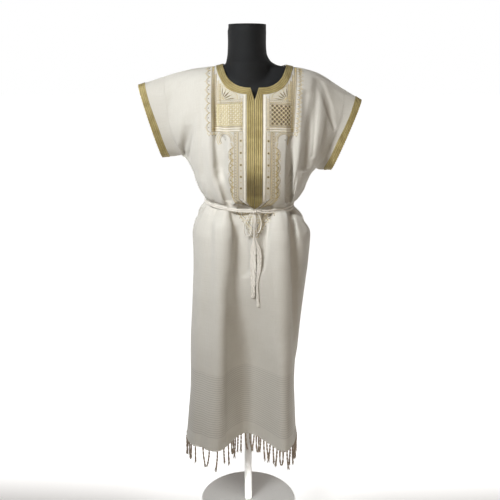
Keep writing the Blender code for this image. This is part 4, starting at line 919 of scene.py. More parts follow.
def neck_edge(side, grown, s):
    """Flat t of the neck opening's edge, grown outward, at s."""
    power = NECK_SQUARE[side]
    return (NECK_DEPTH[side] + grown) * (1 - (s / (NECK_HALF_WIDTH + grown)) ** power) ** (1 / power)


def past_neck(s, t, side):
    """How far a flat point is outside the neck opening."""
    depth, power = NECK_DEPTH[side], NECK_SQUARE[side]
    low, high = -min(depth, NECK_HALF_WIDTH) * 0.99, 1.5
    for _ in range(40):
        middle = (low + high) / 2
        if (abs(s) / (NECK_HALF_WIDTH + middle)) ** power + (t / (depth + middle)) ** power > 1:
            low = middle
        else:
            high = middle
    return low


def beside_slit(s, t, side):
    """How far a flat point is to the side of the slit below the neck opening, less than zero inside it."""
    if side > 0:
        return 1.0
    return abs(s) - (NECK_DEPTH[side] + SLIT_DEPTH - t) * SLIT_HALF_WIDTH / SLIT_DEPTH


def belt_place(angle, level, out):
    """A place on the belt's path: out is the distance outside the body's unfolded section."""
    ring = body_ring(np.linspace(angle - 1, angle + 1, 3), np.full(3, level), folded=False)
    outward = unit(np.array([ring[2, 1] - ring[0, 1], ring[0, 0] - ring[2, 0], 0.0]))
    return ring[1] + outward * np.sign(outward @ (ring[1] * (1, 1, 0))) * out


def in_scene(name, data):
    """A new object of the scene that shows the data."""
    made = bpy.data.objects.new(name, data)
    bpy.context.scene.collection.objects.link(made)
    return made


def new_object(name, places, faces, finish, flat=None, sharp=50):
    """A mesh piece that rides on the part. flat gives each place's flat measures for the weave."""
    mesh = bpy.data.meshes.new(name)
    mesh.from_pydata(np.asarray(places, float).tolist(), [], [[int(i) for i in f] for f in faces])
    mesh.materials.append(finish)
    if flat is not None:
        layer = mesh.uv_layers.new(name="flat")
        corners = np.zeros(len(mesh.loops), int)
        mesh.loops.foreach_get("vertex_index", corners)
        layer.data.foreach_set("uv", np.asarray(flat, float)[corners].ravel())
    body = bmesh.new()
    body.from_mesh(mesh)
    bmesh.ops.recalc_face_normals(body, faces=body.faces)
    body.to_mesh(mesh)
    body.free()
    mesh.shade_smooth()
    mesh.set_sharp_from_angle(angle=math.radians(sharp))
    made = in_scene(name, mesh)
    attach(made, "root")
    return made


def closed_between(name, outer, inner, faces, finish, flat=None):
    """A closed sheet between two copies of an open surface."""
    count = len(outer)
    edges = {(a, b) for face in faces for a, b in zip(face, [*face[1:], face[0]])}
    rims = [[b, a, count + a, count + b] for a, b in edges if (b, a) not in edges]
    under = [[count + i for i in reversed(face)] for face in faces]
    flat = None if flat is None else np.concatenate([flat, flat])
    return new_object(name, np.concatenate([outer, inner]), [*faces, *under, *rims], finish, flat)


def ring_faces(rows, sides, closed=False):
    """Four-sided faces from each ring of places to the next, and from the last to the first if closed."""
    faces = []
    for row in range(rows if closed else rows - 1):
        here, below = row * sides, (row + 1) % rows * sides
        for i in range(sides):
            beside = (i + 1) % sides
            faces.append([here + i, here + beside, below + beside, below + i])
    return faces


def tube_faces(rows, sides):
    """Faces of a tube of rings of places, with its two ends filled."""
    last = (rows - 1) * sides
    return [*ring_faces(rows, sides), list(range(sides))[::-1], [last + i for i in range(sides)]]


def loft(name, rings, finish, flat=None, closed=False):
    """A solid through rings of places, its ends filled, or joined to each other when it is closed."""
    rows, sides = rings.shape[:2]
    faces = ring_faces(rows, sides, closed=True) if closed else tube_faces(rows, sides)
    return new_object(name, rings.reshape(-1, 3), faces, finish, flat)


class Gathered:
    """Many small shapes kept as one piece."""

    def __init__(self):
        self.places, self.faces, self.flats = [], [], []
        self.count = 0

    def put(self, places, faces, flats):
        self.places.append(np.asarray(places, float))
        self.flats.append(np.asarray(flats, float))
        self.faces.extend([i + self.count for i in face] for face in faces)
        self.count += len(places)

    def put_tube(self, rings):
        self.put(rings.reshape(-1, 3), tube_faces(*rings.shape[:2]), flat_along(rings))


def evenly(line, count):
    """A line of points made again with even steps along it."""
    line = np.asarray(line, float)
    length = lengths(line)
    at = np.linspace(0, length[-1], count)
    return np.stack([np.interp(at, length, line[:, i]) for i in range(line.shape[1])], 1)


class Nodes:
    """The nodes of a material, or of the room's light."""

    def __init__(self, tree):
        self.tree = tree

    def add(self, kind, settings=None, inputs=None):
        made = self.tree.nodes.new(kind)
        for name, value in (settings or {}).items():
            setattr(made, name, value)
        for name, value in (inputs or {}).items():
            self.put(made.inputs[name], value)
        return made

    def put(self, socket, value):
        if isinstance(value, bpy.types.NodeSocket):
            self.tree.links.new(value, socket)
        else:
            socket.default_value = value

    def maths(self, operation, *values):
        return self.add("ShaderNodeMath", {"operation": operation}, dict(enumerate(values))).outputs[0]

    def product(self, first, *others):
        for value in others:
            first = self.maths("MULTIPLY", first, value)
        return first

    def scaled(self, vector, *scale):
        """The coordinates, stretched by a factor along each axis."""
        return self.add("ShaderNodeMapping", None, {"Vector": vector, "Scale": scale}).outputs[0]

    def noise(self, vector, scale, detail=3.0):
        inputs = {"Vector": vector, "Scale": scale, "Detail": detail}
        return self.add("ShaderNodeTexNoise", None, inputs).outputs["Fac"]

    def range(self, value, low, high, new_low=0.0, new_high=1.0, way="LINEAR"):
        inputs = {"Value": value, "From Min": low, "From Max": high, "To Min": new_low, "To Max": new_high}
        return self.add("ShaderNodeMapRange", {"interpolation_type": way}, inputs).outputs[0]

    def mix(self, share, *colours):
        made = self.add("ShaderNodeMix", {"data_type": "RGBA"}, {"Factor": share})
        for i, colour in enumerate(colours):
            self.put(made.inputs[6 + i], (*colour, 1.0) if isinstance(colour, tuple) else colour)
        return made.outputs[2]

    def part(self, vector, axis):
        return self.add("ShaderNodeSeparateXYZ", None, {0: vector}).outputs[axis]

    def waves(self, value, pitch):
        """0 to 1 and back once for every pitch."""
        turn = self.maths("MULTIPLY", value, math.tau / pitch)
        return self.maths("MULTIPLY_ADD", self.maths("COSINE", turn), 0.5, 0.5)

    def bumps(self, height, distance, strength):
        inputs = {"Height": height, "Distance": distance, "Strength": strength}
        return self.add("ShaderNodeBump", None, inputs).outputs[0]


class Finish(Nodes):
    """A material. flat is the flat measures of a piece of cloth, and place the place on the piece."""

    def __init__(self, name):
        self.material = bpy.data.materials.new(name)
        self.material.use_nodes = True
        super().__init__(self.material.node_tree)
        self.shader = self.tree.nodes["Principled BSDF"]
        self.flat = self.add("ShaderNodeUVMap", {"uv_map": "flat"}).outputs["UV"]
        self.place = self.add("ShaderNodeTexCoord").outputs["Object"]

    def ends(self, colour, roughness, normal, **uniform):
        """The finished material. uniform values go straight to the shader's inputs."""
        self.put(self.shader.inputs["Base Color"], colour)
        self.put(self.shader.inputs["Roughness"], roughness)
        if normal is not None:
            self.put(self.shader.inputs["Normal"], normal)
        for name, value in uniform.items():
            self.shader.inputs[name.replace("_", " ")].default_value = value
        return self.material


def woven(name, light, dark, ribs=None, thread=0.0009, worked=()):
    """Hand-woven cotton: threads both ways with slubs, soft unevenness, and ribs between two flat distances.

    worked is the ground of close stitches on it.
    """
    made = Finish(name)
    across, down = made.part(made.flat, 0), made.part(made.flat, 1)
    warp = made.noise(made.scaled(made.flat, 1 / thread, 26, 1), 1.0, 2.0)
    weft = made.noise(made.scaled(made.flat, 22, 1 / thread, 1), 1.0, 2.0)
    slubs = made.range(made.maths("ADD", warp, weft), 0.75, 1.25)
    cloudy = made.range(made.noise(made.flat, 9.0, 4.0), 0.35, 0.65)
    weave = made.maths("MAXIMUM", made.waves(across, thread), made.waves(down, thread))
    share = made.maths("MULTIPLY_ADD", slubs, 0.45, made.product(cloudy, 0.35))
    share = made.maths("MULTIPLY_ADD", weave, 0.2, share)
    colour = made.mix(share, dark, light)
    if ribs:
        top, low = ribs
        inside = made.product(made.maths("GREATER_THAN", down, top), made.maths("LESS_THAN", down, low))
        # The ribs' grooves are darkened below: painted shade in them.
        groove_shade = made.maths("POWER", made.waves(made.maths("SUBTRACT", down, top), RIB_PITCH), 3.0)
        colour = made.mix(made.product(groove_shade, inside, 0.55), colour, tuple(0.62 * c for c in dark))
    stitches = made.waves(made.maths("ADD", across, down), 0.0021)
    soft = 0.001
    # The darker right-hand grounds carry painted shade.
    for left, right, top, low, thread_colour, cover in worked:
        limits = [(across, left - soft, left), (across, right + soft, right)]
        limits += [(down, top - soft, top), (down, low + soft, low)]
        inside = made.product(*(made.range(*limit) for limit in limits))
        covered = made.maths("MULTIPLY_ADD", stitches, 0.4 * cover, 0.8 * cover)
        colour = made.mix(made.product(inside, covered), colour, thread_colour)
    normal = made.bumps(made.maths("MULTIPLY_ADD", slubs, 1.6, weave), 0.00025, 0.55)
    roughness = made.range(slubs, 0, 1, 0.92, 0.80)
    return made.ends(colour, roughness, normal, Sheen_Weight=0.12, Sheen_Roughness=0.6)


def braided(name, light, dark, seam):
    """Metallic braid in cords side by side. Flat x is the share across it, and flat y the way along it."""
    made = Finish(name)
    across, along = made.part(made.flat, 0), made.part(made.flat, 1)
    side = made.maths("SUBTRACT", made.maths("FRACT", made.product(across, CORDS)), 0.5)
    side = made.maths("ABSOLUTE", side)
    stitches = made.waves(made.maths("MULTIPLY_ADD", side, 0.0028, along), 0.0016)
    groove = made.range(side, 0.36, 0.5)
    patch = made.range(made.noise(made.place, 34.0, 3.0), 0.38, 0.62)
    colour = made.mix(made.maths("MULTIPLY_ADD", stitches, 0.45, made.product(patch, 0.45)), dark, light)
    dashes = made.range(made.waves(along, 0.0030), 0.2, 0.6)
    colour = made.mix(made.product(groove, made.maths("MULTIPLY_ADD", dashes, 0.45, 0.5)), colour, seam)
    height = made.part(made.place, 2)
    # Painted shade: the placket's braid is darkened towards its dark stitch colour over a band of heights.
    top, top_full, low, low_full = PLACKET_SHADE_HEIGHTS
    placket_shade = made.product(made.range(height, top, top_full), made.range(height, low, low_full))
    colour = made.mix(made.product(placket_shade, made.maths("MULTIPLY_ADD", patch, 0.35, 0.40)), colour, seam)
    roughness, normal = made.range(stitches, 0, 1, 0.62, 0.36), made.bumps(stitches, 0.0003, 0.7)
    return made.ends(colour, roughness, normal, Metallic=0.35, Sheen_Weight=0.1)


def threaded(name, light, dark, pitch, roughness=0.55, along=0):
    """Close threads laid side by side, along the flat x or y direction."""
    made = Finish(name)
    lines = made.waves(made.part(made.flat, 1 - along), pitch)
    patch = made.range(made.noise(made.place, 120.0, 3.0), 0.35, 0.65)
    colour = made.mix(made.maths("MULTIPLY_ADD", lines, 0.5, made.product(patch, 0.5)), dark, light)
    normal = made.bumps(lines, 0.0002, 0.6)
    return made.ends(colour, roughness, normal, Sheen_Weight=0.25, Sheen_Roughness=0.35)


def jersey(name):
    """The black stretched knit on the dress form."""
    made = Finish(name)
    x, z = made.part(made.place, 0), made.part(made.place, 2)
    knit = made.product(made.waves(x, 0.0013), made.waves(z, 0.0011))
    dust = made.range(made.noise(made.place, 420.0, 3.0), 0.55, 0.80)
    broad = made.range(made.noise(made.place, 14.0, 3.0), 0.3, 0.7)
    colour = made.mix(broad, (0.002, 0.003, 0.004), (0.005, 0.0065, 0.009))
    colour = made.mix(made.product(dust, 0.30), colour, (0.020, 0.023, 0.027))
    return made.ends(colour, 0.75, made.bumps(knit, 0.0003, 0.5), Sheen_Weight=0.06, Sheen_Roughness=0.5)


def painted(name, colour):
    """Powder-coated metal of the stand: a fine orange peel with small marks."""
    made = Finish(name)
    peel = made.noise(made.place, 900.0, 2.0)
    marks = made.range(made.noise(made.scaled(made.place, 1, 1, 0.2), 60.0, 5.0), 0.58, 0.72)
    colour = made.mix(made.product(marks, 0.6), colour, tuple(c * 0.90 for c in colour))
    roughness, normal = made.range(marks, 0, 1, 0.34, 0.5), made.bumps(peel, 0.0001, 0.4)
    return made.ends(colour, roughness, normal, Coat_Weight=0.15)


def opening_line(side, pitch):
    """Flat points along the neck opening and its slit, from the left shoulder to the right."""
    arc = [tuple(point) for point in evenly(neck_arc(side, 0.0, 900), 150)]
    if side > 0:
        return arc
    mouth = neck_edge(side, 0.0, SLIT_HALF_WIDTH)
    slit = [(-SLIT_HALF_WIDTH, mouth), (0.0, NECK_DEPTH[side] + SLIT_DEPTH), (SLIT_HALF_WIDTH, mouth)]
    reach = SLIT_HALF_WIDTH + pitch / 2
    return [*(p for p in arc if p[0] < -reach), *slit, *(p for p in arc if p[0] > reach)]


def panel_rows(seam, rib_top, rib_low, hem, pitch):
    """Flat t of a fine panel's rows: closer together near the belt, and five to a rib."""
    stretches = (
        (seam, FINER[0], round(FINER[0] / pitch)),
        (*FINER, round((FINER[1] - FINER[0]) / FINER_PITCH)),
        (FINER[1], rib_top, round((rib_top - FINER[1]) / pitch)),
        (rib_top, rib_low, round((rib_low - rib_top) / RIB_PITCH * 5)),
    )
    rows = [np.linspace(*stretch)[:-1] for stretch in stretches]
    return np.concatenate([*rows, np.linspace(rib_low, hem, round((hem - rib_low) / pitch))])


def fine_places(cloth, pitch):
    """Flat places and triangles of a fine panel, with the neck opening and its slit cut out."""
    side = cloth.side
    seam, edge, hem = SEAM_GAP / 2, HALF_WIDTH - SEAM_GAP / 2, t_at_level(cloth, HEM_Z)
    rib_top, rib_low = t_at_level(cloth, RIB_TOP), t_at_level(cloth, RIB_LOW)
    arc = opening_line(side, pitch)
    across = np.linspace(-edge, edge, round(2 * edge / pitch))
    closer = np.linspace(-edge, edge, round(2 * edge / FINER_PITCH))
    down = panel_rows(seam, rib_top, rib_low, hem, pitch)
    corner = NECK_HALF_WIDTH + pitch / 2
    outline = [(s, seam) for s in across if s < -corner] + arc
    outline += [(s, seam) for s in across if s > corner]
    outline += [(edge, t) for t in down[1:]] + [(s, hem) for s in across[-2::-1]]
    outline += [(-edge, t) for t in down[-2:0:-1]]
    fixed = np.array(outline[: len(across) + len(arc)])
    nearest = pitch * 0.4
    free = []
    for t in down[1:-1]:
        columns = across
        if FINER[0] < t < FINER[1]:
            columns = closer
        elif rib_top < t < rib_low:
            columns = across[::2]
        for s in columns[1:-1]:
            if t < OPENING_LOW and min(past_neck(s, t, side), beside_slit(s, t, side)) < nearest:
                continue
            if t < OPENING_LOW and np.min(np.hypot(*(fixed - (s, t)).T)) < nearest:
                continue
            free.append((s, t))
    rim = list(range(len(outline)))
    joins = list(zip(rim, [*rim[1:], 0]))
    found = geometry.delaunay_2d_cdt([Vector(p) for p in outline + free], joins, [rim], 1, 1e-7)
    places = np.array([tuple(p) for p in found[0]])
    faces = np.array([tuple(f) for f in found[2]])
    keep = [t > OPENING_LOW or beside_slit(s, t, side) > 0 for s, t in places[faces].mean(axis=1)]
    return places, faces[np.array(keep)]


def room_inside(cloth, tree):
    """How far each place of the cloth's grid is from the dress form, less what the cloth itself needs."""
    found = [tree.find_nearest(Vector(place), 0.2)[3] for place in cloth.points.reshape(-1, 3)]
    away = np.array([0.2 if f is None else f for f in found]).reshape(cloth.points.shape[:2])
    return np.maximum(away - CLEAR, 0.0)[..., None]


def fold_depth(cloth, s, t):
    """Depth of the fine folds, as far as there is room for them over the dress form."""
    if cloth.side > 0:
        return 0.0
    place = cloth.at(s, t)
    depth = crease_depth(FINE_FOLDS, place[..., 0], place[..., 2])
    room = cloth.sample(cloth.room, s, t)[..., 0]
    edge = ease((HALF_WIDTH - np.abs(s)) / 0.02) * ease(t / 0.04)
    return np.where(depth > 0, room * np.tanh(np.maximum(depth, 0) / np.maximum(room, 1e-6)), depth) * edge


def relief(cloth, s, t):
    """How far the fine cloth stands off its smooth form: its folds, its ribs and its soft unevenness."""
    rib_top, rib_low = t_at_level(cloth, RIB_TOP), t_at_level(cloth, RIB_LOW)
    inside = ease((t - rib_top) / 0.004) * ease((rib_low - t) / 0.004)
    ribs = -RIB_HEIGHT * (0.5 + 0.5 * np.cos((t - rib_top) * math.tau / RIB_PITCH)) ** 3 * inside
    soft = 0.00035 * np.sin(s * 61 + 3 * np.sin(t * 7)) * np.sin(t * 9 + 2 * np.sin(s * 17))
    soft += 0.00020 * np.sin(s * 140 + 5 * np.sin(t * 11 + s * 9)) * np.sin(t * 27 + s * 30)
    return ribs + soft * ease(t / 0.05) - fold_depth(cloth, s, t)


def fine_panel(name, cloth, pitch, finish):
    """The front or back of the dress in fine cloth. Its flat area is kept on the cloth."""
    places, faces = fine_places(cloth, pitch)
    one, two = ((places[faces[:, i]] - places[faces[:, 0]]).T for i in (1, 2))
    cloth.area = float(np.abs(one[0] * two[1] - one[1] * two[0]).sum() / 2)
    s, t = places.T
    lift = relief(cloth, s, t)[:, None]
    outer, inner = cloth.at(s, t, lift), cloth.at(s, t, lift - SHELL)
    made = closed_between(name, outer, inner, faces.tolist(), finish, places)
    return made


def fine_sleeve(name, cloth, finish):
    """A sleeve of the dress in fine cloth, open at its seam and its cuff."""
    around = np.linspace(0, 1, 161)
    down = np.linspace(0, 1, 41)
    s, t = np.meshgrid(around[:-1], down)
    outer = cloth.at(s, t).reshape(-1, 3)
    inner = cloth.at(s, t, -SHELL).reshape(-1, 3)
    length = np.interp(s, cloth.s, cloth.length)
    flat = np.stack([s * cloth.girth, t * length], -1).reshape(-1, 2)
    faces = ring_faces(*s.shape)
    made = closed_between(name, outer, inner, faces, finish, flat)
    return made


def braid_band(name, runs, finish, closed=False):
    """A braid between two flat lines on the cloth. runs are (cloth, inner line, outer line), end to end."""
    share, height = np.array(CORD_PROFILE).T
    height = TRIM_GAP + height * BRAID_THICK
    tops, lows = [], []
    for cloth, inner, outer in runs:
        line = inner[:, None, :] * (1 - share)[None, :, None] + outer[:, None, :] * share[None, :, None]
        tops.append(cloth.at(line[..., 0], line[..., 1], height[None, :, None]))
        lows.append(cloth.at(line[..., 0], line[..., 1], TRIM_GAP))
    tops, lows = np.concatenate(tops), np.concatenate(lows)
    along = lengths(tops[:, len(share) // 2])
    rings = np.concatenate([tops, lows[:, ::-1]], axis=1)
    across = np.concatenate([share, share[::-1]])
    flat = np.stack(np.broadcast_arrays(across[None, :], along[:, None]), -1).reshape(-1, 2)
    made = loft(name, rings, finish, flat, closed)
    return made


def neck_lines(side, count, keep):
    """The neck braid's inner and outer lines from the left shoulder to the right, where keep(s) holds."""
    pair = [np.array(neck_arc(side, grown, 1500)) for grown in (0.0, BRAID_WIDTH)]
    length = lengths((pair[0] + pair[1]) / 2)
    at = np.linspace(0, length[-1], count)
    lines = [np.stack([np.interp(at, length, line[:, i]) for i in (0, 1)], 1) for line in pair]
    wanted = keep(lines[0][:, 0])
    return [line[wanted] for line in lines]


def front_braid_lines(cloth, hand):
    """The placket braid's inner and outer lines on one side, from the point at the belt to the slit."""
    point = t_at_level(cloth, BELT_Z + PLACKET_ABOVE_BELT)
    slit = NECK_DEPTH[-1] + SLIT_DEPTH
    mouth = neck_edge(-1, 0.0, SLIT_HALF_WIDTH)
    corner = neck_edge(-1, BRAID_WIDTH, PLACKET_HALF_WIDTH)
    centre, wide = 0.0003, PLACKET_HALF_WIDTH
    inner = ((centre, point), (centre, slit), (SLIT_HALF_WIDTH, mouth))
    outer = ((wide, point - PLACKET_POINT), (wide, slit + 0.010), (wide, corner))
    lines = []
    for low, middle, high in (inner, outer):
        line = np.concatenate([np.linspace(low, middle, 130)[:-1], np.linspace(middle, high, 24)])
        lines.append(line * (hand, 1))
    return lines


def backward(lines):
    return [line[::-1] for line in lines]


def whole_braid(front, back, finish):
    """One braid: up the left of the placket, round the neck, and down the right of the placket."""
    reach = SLIT_HALF_WIDTH + 0.0015
    left = front_braid_lines(front, -1)
    right = front_braid_lines(front, 1)
    left_arc = neck_lines(-1, 260, lambda s: s < -reach)
    right_arc = neck_lines(-1, 260, lambda s: s > reach)
    behind = neck_lines(1, 110, np.isfinite)
    runs = [
        (front, *left),
        (front, *backward(left_arc)),
        (back, *(line[1:-1] for line in behind)),
        (front, *backward(right_arc)),
        (front, *backward(right)),
    ]
    made = braid_band("braid", runs, finish)
    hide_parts("neck_braid", "placket_braid")
    return made


def cuff(name, cloth, finish):
    """The braid round a sleeve's cuff."""
    around = np.linspace(0, 1, 181)[:-1]
    length = np.interp(around, cloth.s, cloth.length)
    inner = np.stack([around, np.ones(around.shape)], 1)
    outer = np.stack([around, 1 - BRAID_WIDTH / length], 1)
    return braid_band(name, [(cloth, inner, outer)], finish, closed=True)


def tube(line, across, wide, thick, section):
    """Rings of places round a line, wide in the direction across."""
    line = np.array(line)
    forward = unit(np.gradient(line, axis=0))
    across = np.array(across) - forward * np.sum(np.array(across) * forward, axis=1)[:, None]
    across = unit(across)
    out = np.cross(forward, across)
    wide, thick = np.broadcast_to(wide, len(line)), np.broadcast_to(thick, len(line))
    rings = [line + across * (wide * a)[:, None] + out * (thick * b)[:, None] for a, b in section]
    return np.array(rings).transpose(1, 0, 2)


def oval(sides, power=2.6):
    """Points round a section 2 wide and 2 high: an ellipse where power is 2, and squarer above it."""
    turn = np.linspace(0, 2 * math.pi, sides, endpoint=False)
    a, b = np.cos(turn), np.sin(turn)
    return list(zip(np.sign(a) * np.abs(a) ** (2 / power), np.sign(b) * np.abs(b) ** (2 / power)))


def flat_along(rings):
    """Flat measures for a tube: the way round it and the length along it."""
    along = lengths(rings.mean(axis=1))
    size = np.linalg.norm(np.diff(rings[len(rings) // 2], axis=0), axis=1).sum()
    around = np.linspace(0, size, rings.shape[1])
    return np.stack(np.broadcast_arrays(around[None, :], along[:, None]), -1).reshape(-1, 2)


def belt_piece(name, node, rings, finish, closed=False):
    """A piece of the belt through rings of places, in the place of one of the solids."""
    made = loft(name, rings, finish, flat_along(rings), closed)
    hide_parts(node)
    return made


def belt(finish):
    """The tie belt, two turns of a rolled strip round the waist."""
    out = BELT_OFF + BELT_THICK / 2
    first = np.linspace(BELT_END_ANGLE, 360 - BELT_END_ANGLE, BELT_TURN_PLACES)
    second = np.linspace(360 + BELT_END_ANGLE, 720 - BELT_END_ANGLE, BELT_TURN_PLACES)
    line = []
    for turned_by in (*first, *second):
        angle = KNOT_ANGLE + turned_by
        rank = 0.5 if turned_by < 360 else -0.5
        aside = (angle % 360 - BELT_SPREAD_AT) / BELT_SPREAD_REACH
        apart = BELT_PITCH + BELT_SPREAD * math.exp(-(aside**2))
        line.append(belt_place(angle, BELT_Z + rank * apart, out))
    line = evenly(line, BELT_PLACES)
    upright = np.tile([0.0, 0.0, 1.0], (len(line), 1))
    along = np.arange(len(line)) * 0.003
    wide = BELT_HEIGHT / 2 * (0.93 + 0.06 * np.sin(along * 210) * np.sin(along * 37))
    thick = BELT_THICK / 2 * (0.94 + 0.05 * np.sin(along * 160 + 1))
    return belt_piece("belt_round_waist", "belt", tube(line, upright, wide, thick, oval(14)), finish)


def knot(finish):
    """The belt's knot: a rolled strip tied on itself."""
    face = belt_place(KNOT_ANGLE, BELT_Z, BELT_OFF + BELT_THICK)
    turn = np.linspace(0, 2 * math.pi, 121)[:-1]
    middle = np.array([KNOT_X, face[1] - 2 * TRIM_GAP - KNOT[1], BELT_Z - KNOT_DROP])
    x = (np.sin(turn) + 2 * np.sin(2 * turn)) / 3
    z = (np.cos(turn) - 2 * np.cos(2 * turn)) / 3
    y = -np.sin(3 * turn)
    size = np.array(KNOT) - KNOT_STRIP
    line = middle + np.stack([x * size[0] * 1.05, y * size[1] * 0.9, z * size[2] * 1.05], 1)
    forward = unit(np.roll(line, -1, axis=0) - np.roll(line, 1, axis=0))
    side = unit(np.cross(forward, np.array([0.0, 1.0, 0.15])))
    up = np.cross(forward, side)
    rings = [line + side * KNOT_STRIP * a + up * KNOT_STRIP * b * 0.9 for a, b in oval(12)]
    rings = np.array(rings).transpose(1, 0, 2)
    return belt_piece("belt_tied_knot", "belt_knot", rings, finish, closed=True)


def hanging_line(cloth, rows, count):
    """The middle line of a loop or end of the belt, with its half sizes."""
    keys = np.arange(len(rows["x"]), dtype=float)
    at = np.linspace(0, keys[-1], count)
    x, z, out, wide, thick = (smooth(keys, rows[name], at) for name in BOW_COLUMNS.split())
    s = x - CENTRE_SHIFT
    t = np.array([t_at_height(cloth, *pair) for pair in zip(s, z)])
    line = np.stack([x, cloth.at(s, t)[:, 1] - out, z], 1)
    return line, s, t, wide, thick


def belt_loop(name, node, cloth, rows, finish):
    """A loop of the belt's bow, a rolled strip that hangs from the knot."""
    line, s, t, wide, thick = hanging_line(cloth, rows, 90)
    rings = tube(line, cloth.sample(cloth.normals, s, t), wide, thick, oval(14))
    return belt_piece(name, node, rings, finish)


def fold_wave(value):
    """A wave of straight slopes, with a small jump where they change sides, once for every whole number."""
    slope = np.abs((value % 1) * 2 - 1) - 0.5
    return np.sqrt(slope**2 + 0.01) * np.sign(slope)


def belt_end(name, node, cloth, rows, phase, finish):
    """A hanging end of the belt: a flat strip, crumpled across."""
    count, columns = 170, 13
    line, s, t, wide, thick = hanging_line(cloth, rows, count)
    across = unit(cloth.at(s + 0.006, t) - cloth.at(s - 0.006, t))
    out = cloth.sample(cloth.normals, s, t)
    share = np.linspace(-1, 1, columns)[None, :]
    z = line[:, 2][:, None]
    flatness = np.clip(wide / 0.009, 0, 1)[:, None]
    crumple = fold_wave(z * 41 + share * 0.7 + phase) * 0.0024
    crumple = (crumple + fold_wave(z * 67 - share * 0.9 + 2 * phase) * 0.0015) * flatness
    edge = 0.07 * np.sin(z * 130 + 2 * phase) + 0.05 * np.sin(z * 310 + phase)
    edge = 1 + edge * np.abs(share) * flatness
    place = line[:, None, :] + across[:, None, :] * (wide[:, None] * share * edge)[..., None]
    place = place + out[:, None, :] * crumple[..., None]
    lift = (thick[:, None] * np.sqrt(np.clip(1 - share**2 * 0.85, 0, 1)))[..., None] * out[:, None, :]
    rings = np.concatenate([place + lift, (place - lift)[:, ::-1]], axis=1)
    return belt_piece(name, node, rings, finish)


def plied(line, twist, seed):
    """Two plies twisted about a line, each with its radius."""
    turn = seed + np.linspace(0, twist, len(line))
    plies = []
    for start in (0, math.pi):
        offset = np.stack([np.cos(turn + start), np.sin(turn + start), np.zeros(len(line))], 1) * PLY_OFF
        plies.append((line + offset, np.full(len(line), PLY_RADIUS)))
    return plies


def fringe_loop(base, down, length, across, seed):
    """A plied cord that goes down and comes back up to the hem."""
    turn = np.linspace(0, math.pi, 19)
    drop = down * (np.sin(turn) ** 0.6 * length * LOOP_DROP)[:, None]
    return plied(base + drop - across * (LOOP_WIDE * np.cos(turn))[:, None], LOOP_TWIST, seed)


def fringe_cord(base, down, length, sway, seed):
    """A plied cord with a knot near its end and loose threads below the knot."""
    steps = np.linspace(0, 1, 15)[:, None]
    upper = (STRAND_KNOT_DROP + 0.06 * math.sin(seed * 1.9)) * length
    line = base + down * steps * upper + sway * (steps * 0.8) ** 2
    bundles = plied(line, CORD_TWIST + 2 * math.sin(seed), seed)
    knot_at = base + down * upper + sway * 0.64
    turn = np.linspace(0, 2 * math.pi, 7)
    wide, high, radius = STRAND_KNOT
    wrap = knot_at + np.stack([np.cos(turn) * wide, np.sin(turn) * wide, np.linspace(high, -high, 7)], 1)
    bundles.append((wrap, np.full(7, radius)))
    steps = np.linspace(0, 1, 5)[:, None]
    for thread in range(LOOSE_THREADS):
        angle = seed * 3 + thread * math.tau / LOOSE_THREADS
        apart = 0.0032 + 0.0014 * math.sin(seed * 5 + thread * 2.3)
        low = (0.24 + 0.06 * math.sin(seed * 7 + thread * 1.9)) * length
        offset = np.array([math.cos(angle), math.sin(angle), 0.0]) * apart
        line = knot_at + down * steps * low + offset * steps**0.7 + sway * ((0.8 + steps * 0.2) ** 2 - 0.64)
        bundles.append((line, np.linspace(*LOOSE_RADIUS, 5)))
    return bundles


def fringe(name, node, cloth, finish, strip_finish):
    """Knotted cords and loops under the hem, on the narrow strip that they are rooted in."""
    hem = t_at_level(cloth, HEM_Z) + SEAM_GAP
    pitch = 2 * HALF_WIDTH / FRINGE_STRANDS
    whole = Gathered()
    ends = HALF_WIDTH - SEAM_GAP / 2
    s = np.linspace(-ends, ends, 265)
    drop = FRINGE_STRIP * (0.75 + 0.12 * np.sin(s * 900) + 0.13 * np.sin(s * 410))
    corners = ((0, 0), (drop, 0), (drop, SHELL), (0, SHELL))
    section = [cloth.at(s, hem + below, FRINGE_OUT - deep) for below, deep in corners]
    whole.put_tube(np.array(section).transpose(1, 0, 2))
    strip = len(whole.faces)
    down = np.array([0.0, 0.0, -1.0])
    for n in range(FRINGE_STRANDS):
        at = (n + 0.5) * pitch - HALF_WIDTH
        root = hem + FRINGE_STRIP * 0.55
        base = cloth.at(at, root, FRINGE_OUT - SHELL / 2)
        across = unit(cloth.at(at + 0.002, root) - cloth.at(at - 0.002, root))
        length = FRINGE_LENGTH * (1 + 0.09 * math.sin(n * 3.1 + cloth.side))
        if n % 7 == 3:
            bundles = fringe_loop(base, down, length, across, n * 1.3)
        else:
            lean = {0: 0.0085, 1: -0.0085}.get(n % 5, 0.007 * math.sin(n * 2.4))
            sway = across * lean + np.array([0.0, 0.0024 * math.sin(n * 1.7 + 1), 0.0])
            bundles = fringe_cord(base, down, length, sway, n * 1.3 + cloth.side)
        for line, radius in bundles:
            forward = unit(np.gradient(line, axis=0))
            side = unit(np.cross(forward, np.array([0.31, 0.95, 0.02])))
            up = np.cross(forward, side)
            rings = [line + (side * a + up * b) * radius[:, None] for a, b in oval(6, 2)]
            whole.put_tube(np.array(rings).transpose(1, 0, 2))
    made = new_object(name, np.concatenate(whole.places), whole.faces, finish, np.concatenate(whole.flats))
    made.data.materials.append(strip_finish)
    for polygon in made.data.polygons[:strip]:
        polygon.material_index = 1
    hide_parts(node)
    return made


def form_skin(finish):
    """The dress form, smooth all round, with its rounded top."""
    body = np.arange(FORM_BOTTOM_Z, FORM_SHOULDER_Z, 0.012)
    neck = np.arange(FORM_SHOULDER_Z, FORM["z"][-1], 0.0022)
    heights = np.unique(np.concatenate([body, neck, FORM["z"]]))
    made = loft("form_skin", form_rings(heights, 96), finish)
    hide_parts("form_body")
    return made


def circle(s, t, radius, sides):
    """Flat points round a circle."""
    turn = np.linspace(0, math.tau, sides, endpoint=False)
    return np.column_stack([s + radius * np.cos(turn), t + radius * np.sin(turn)])


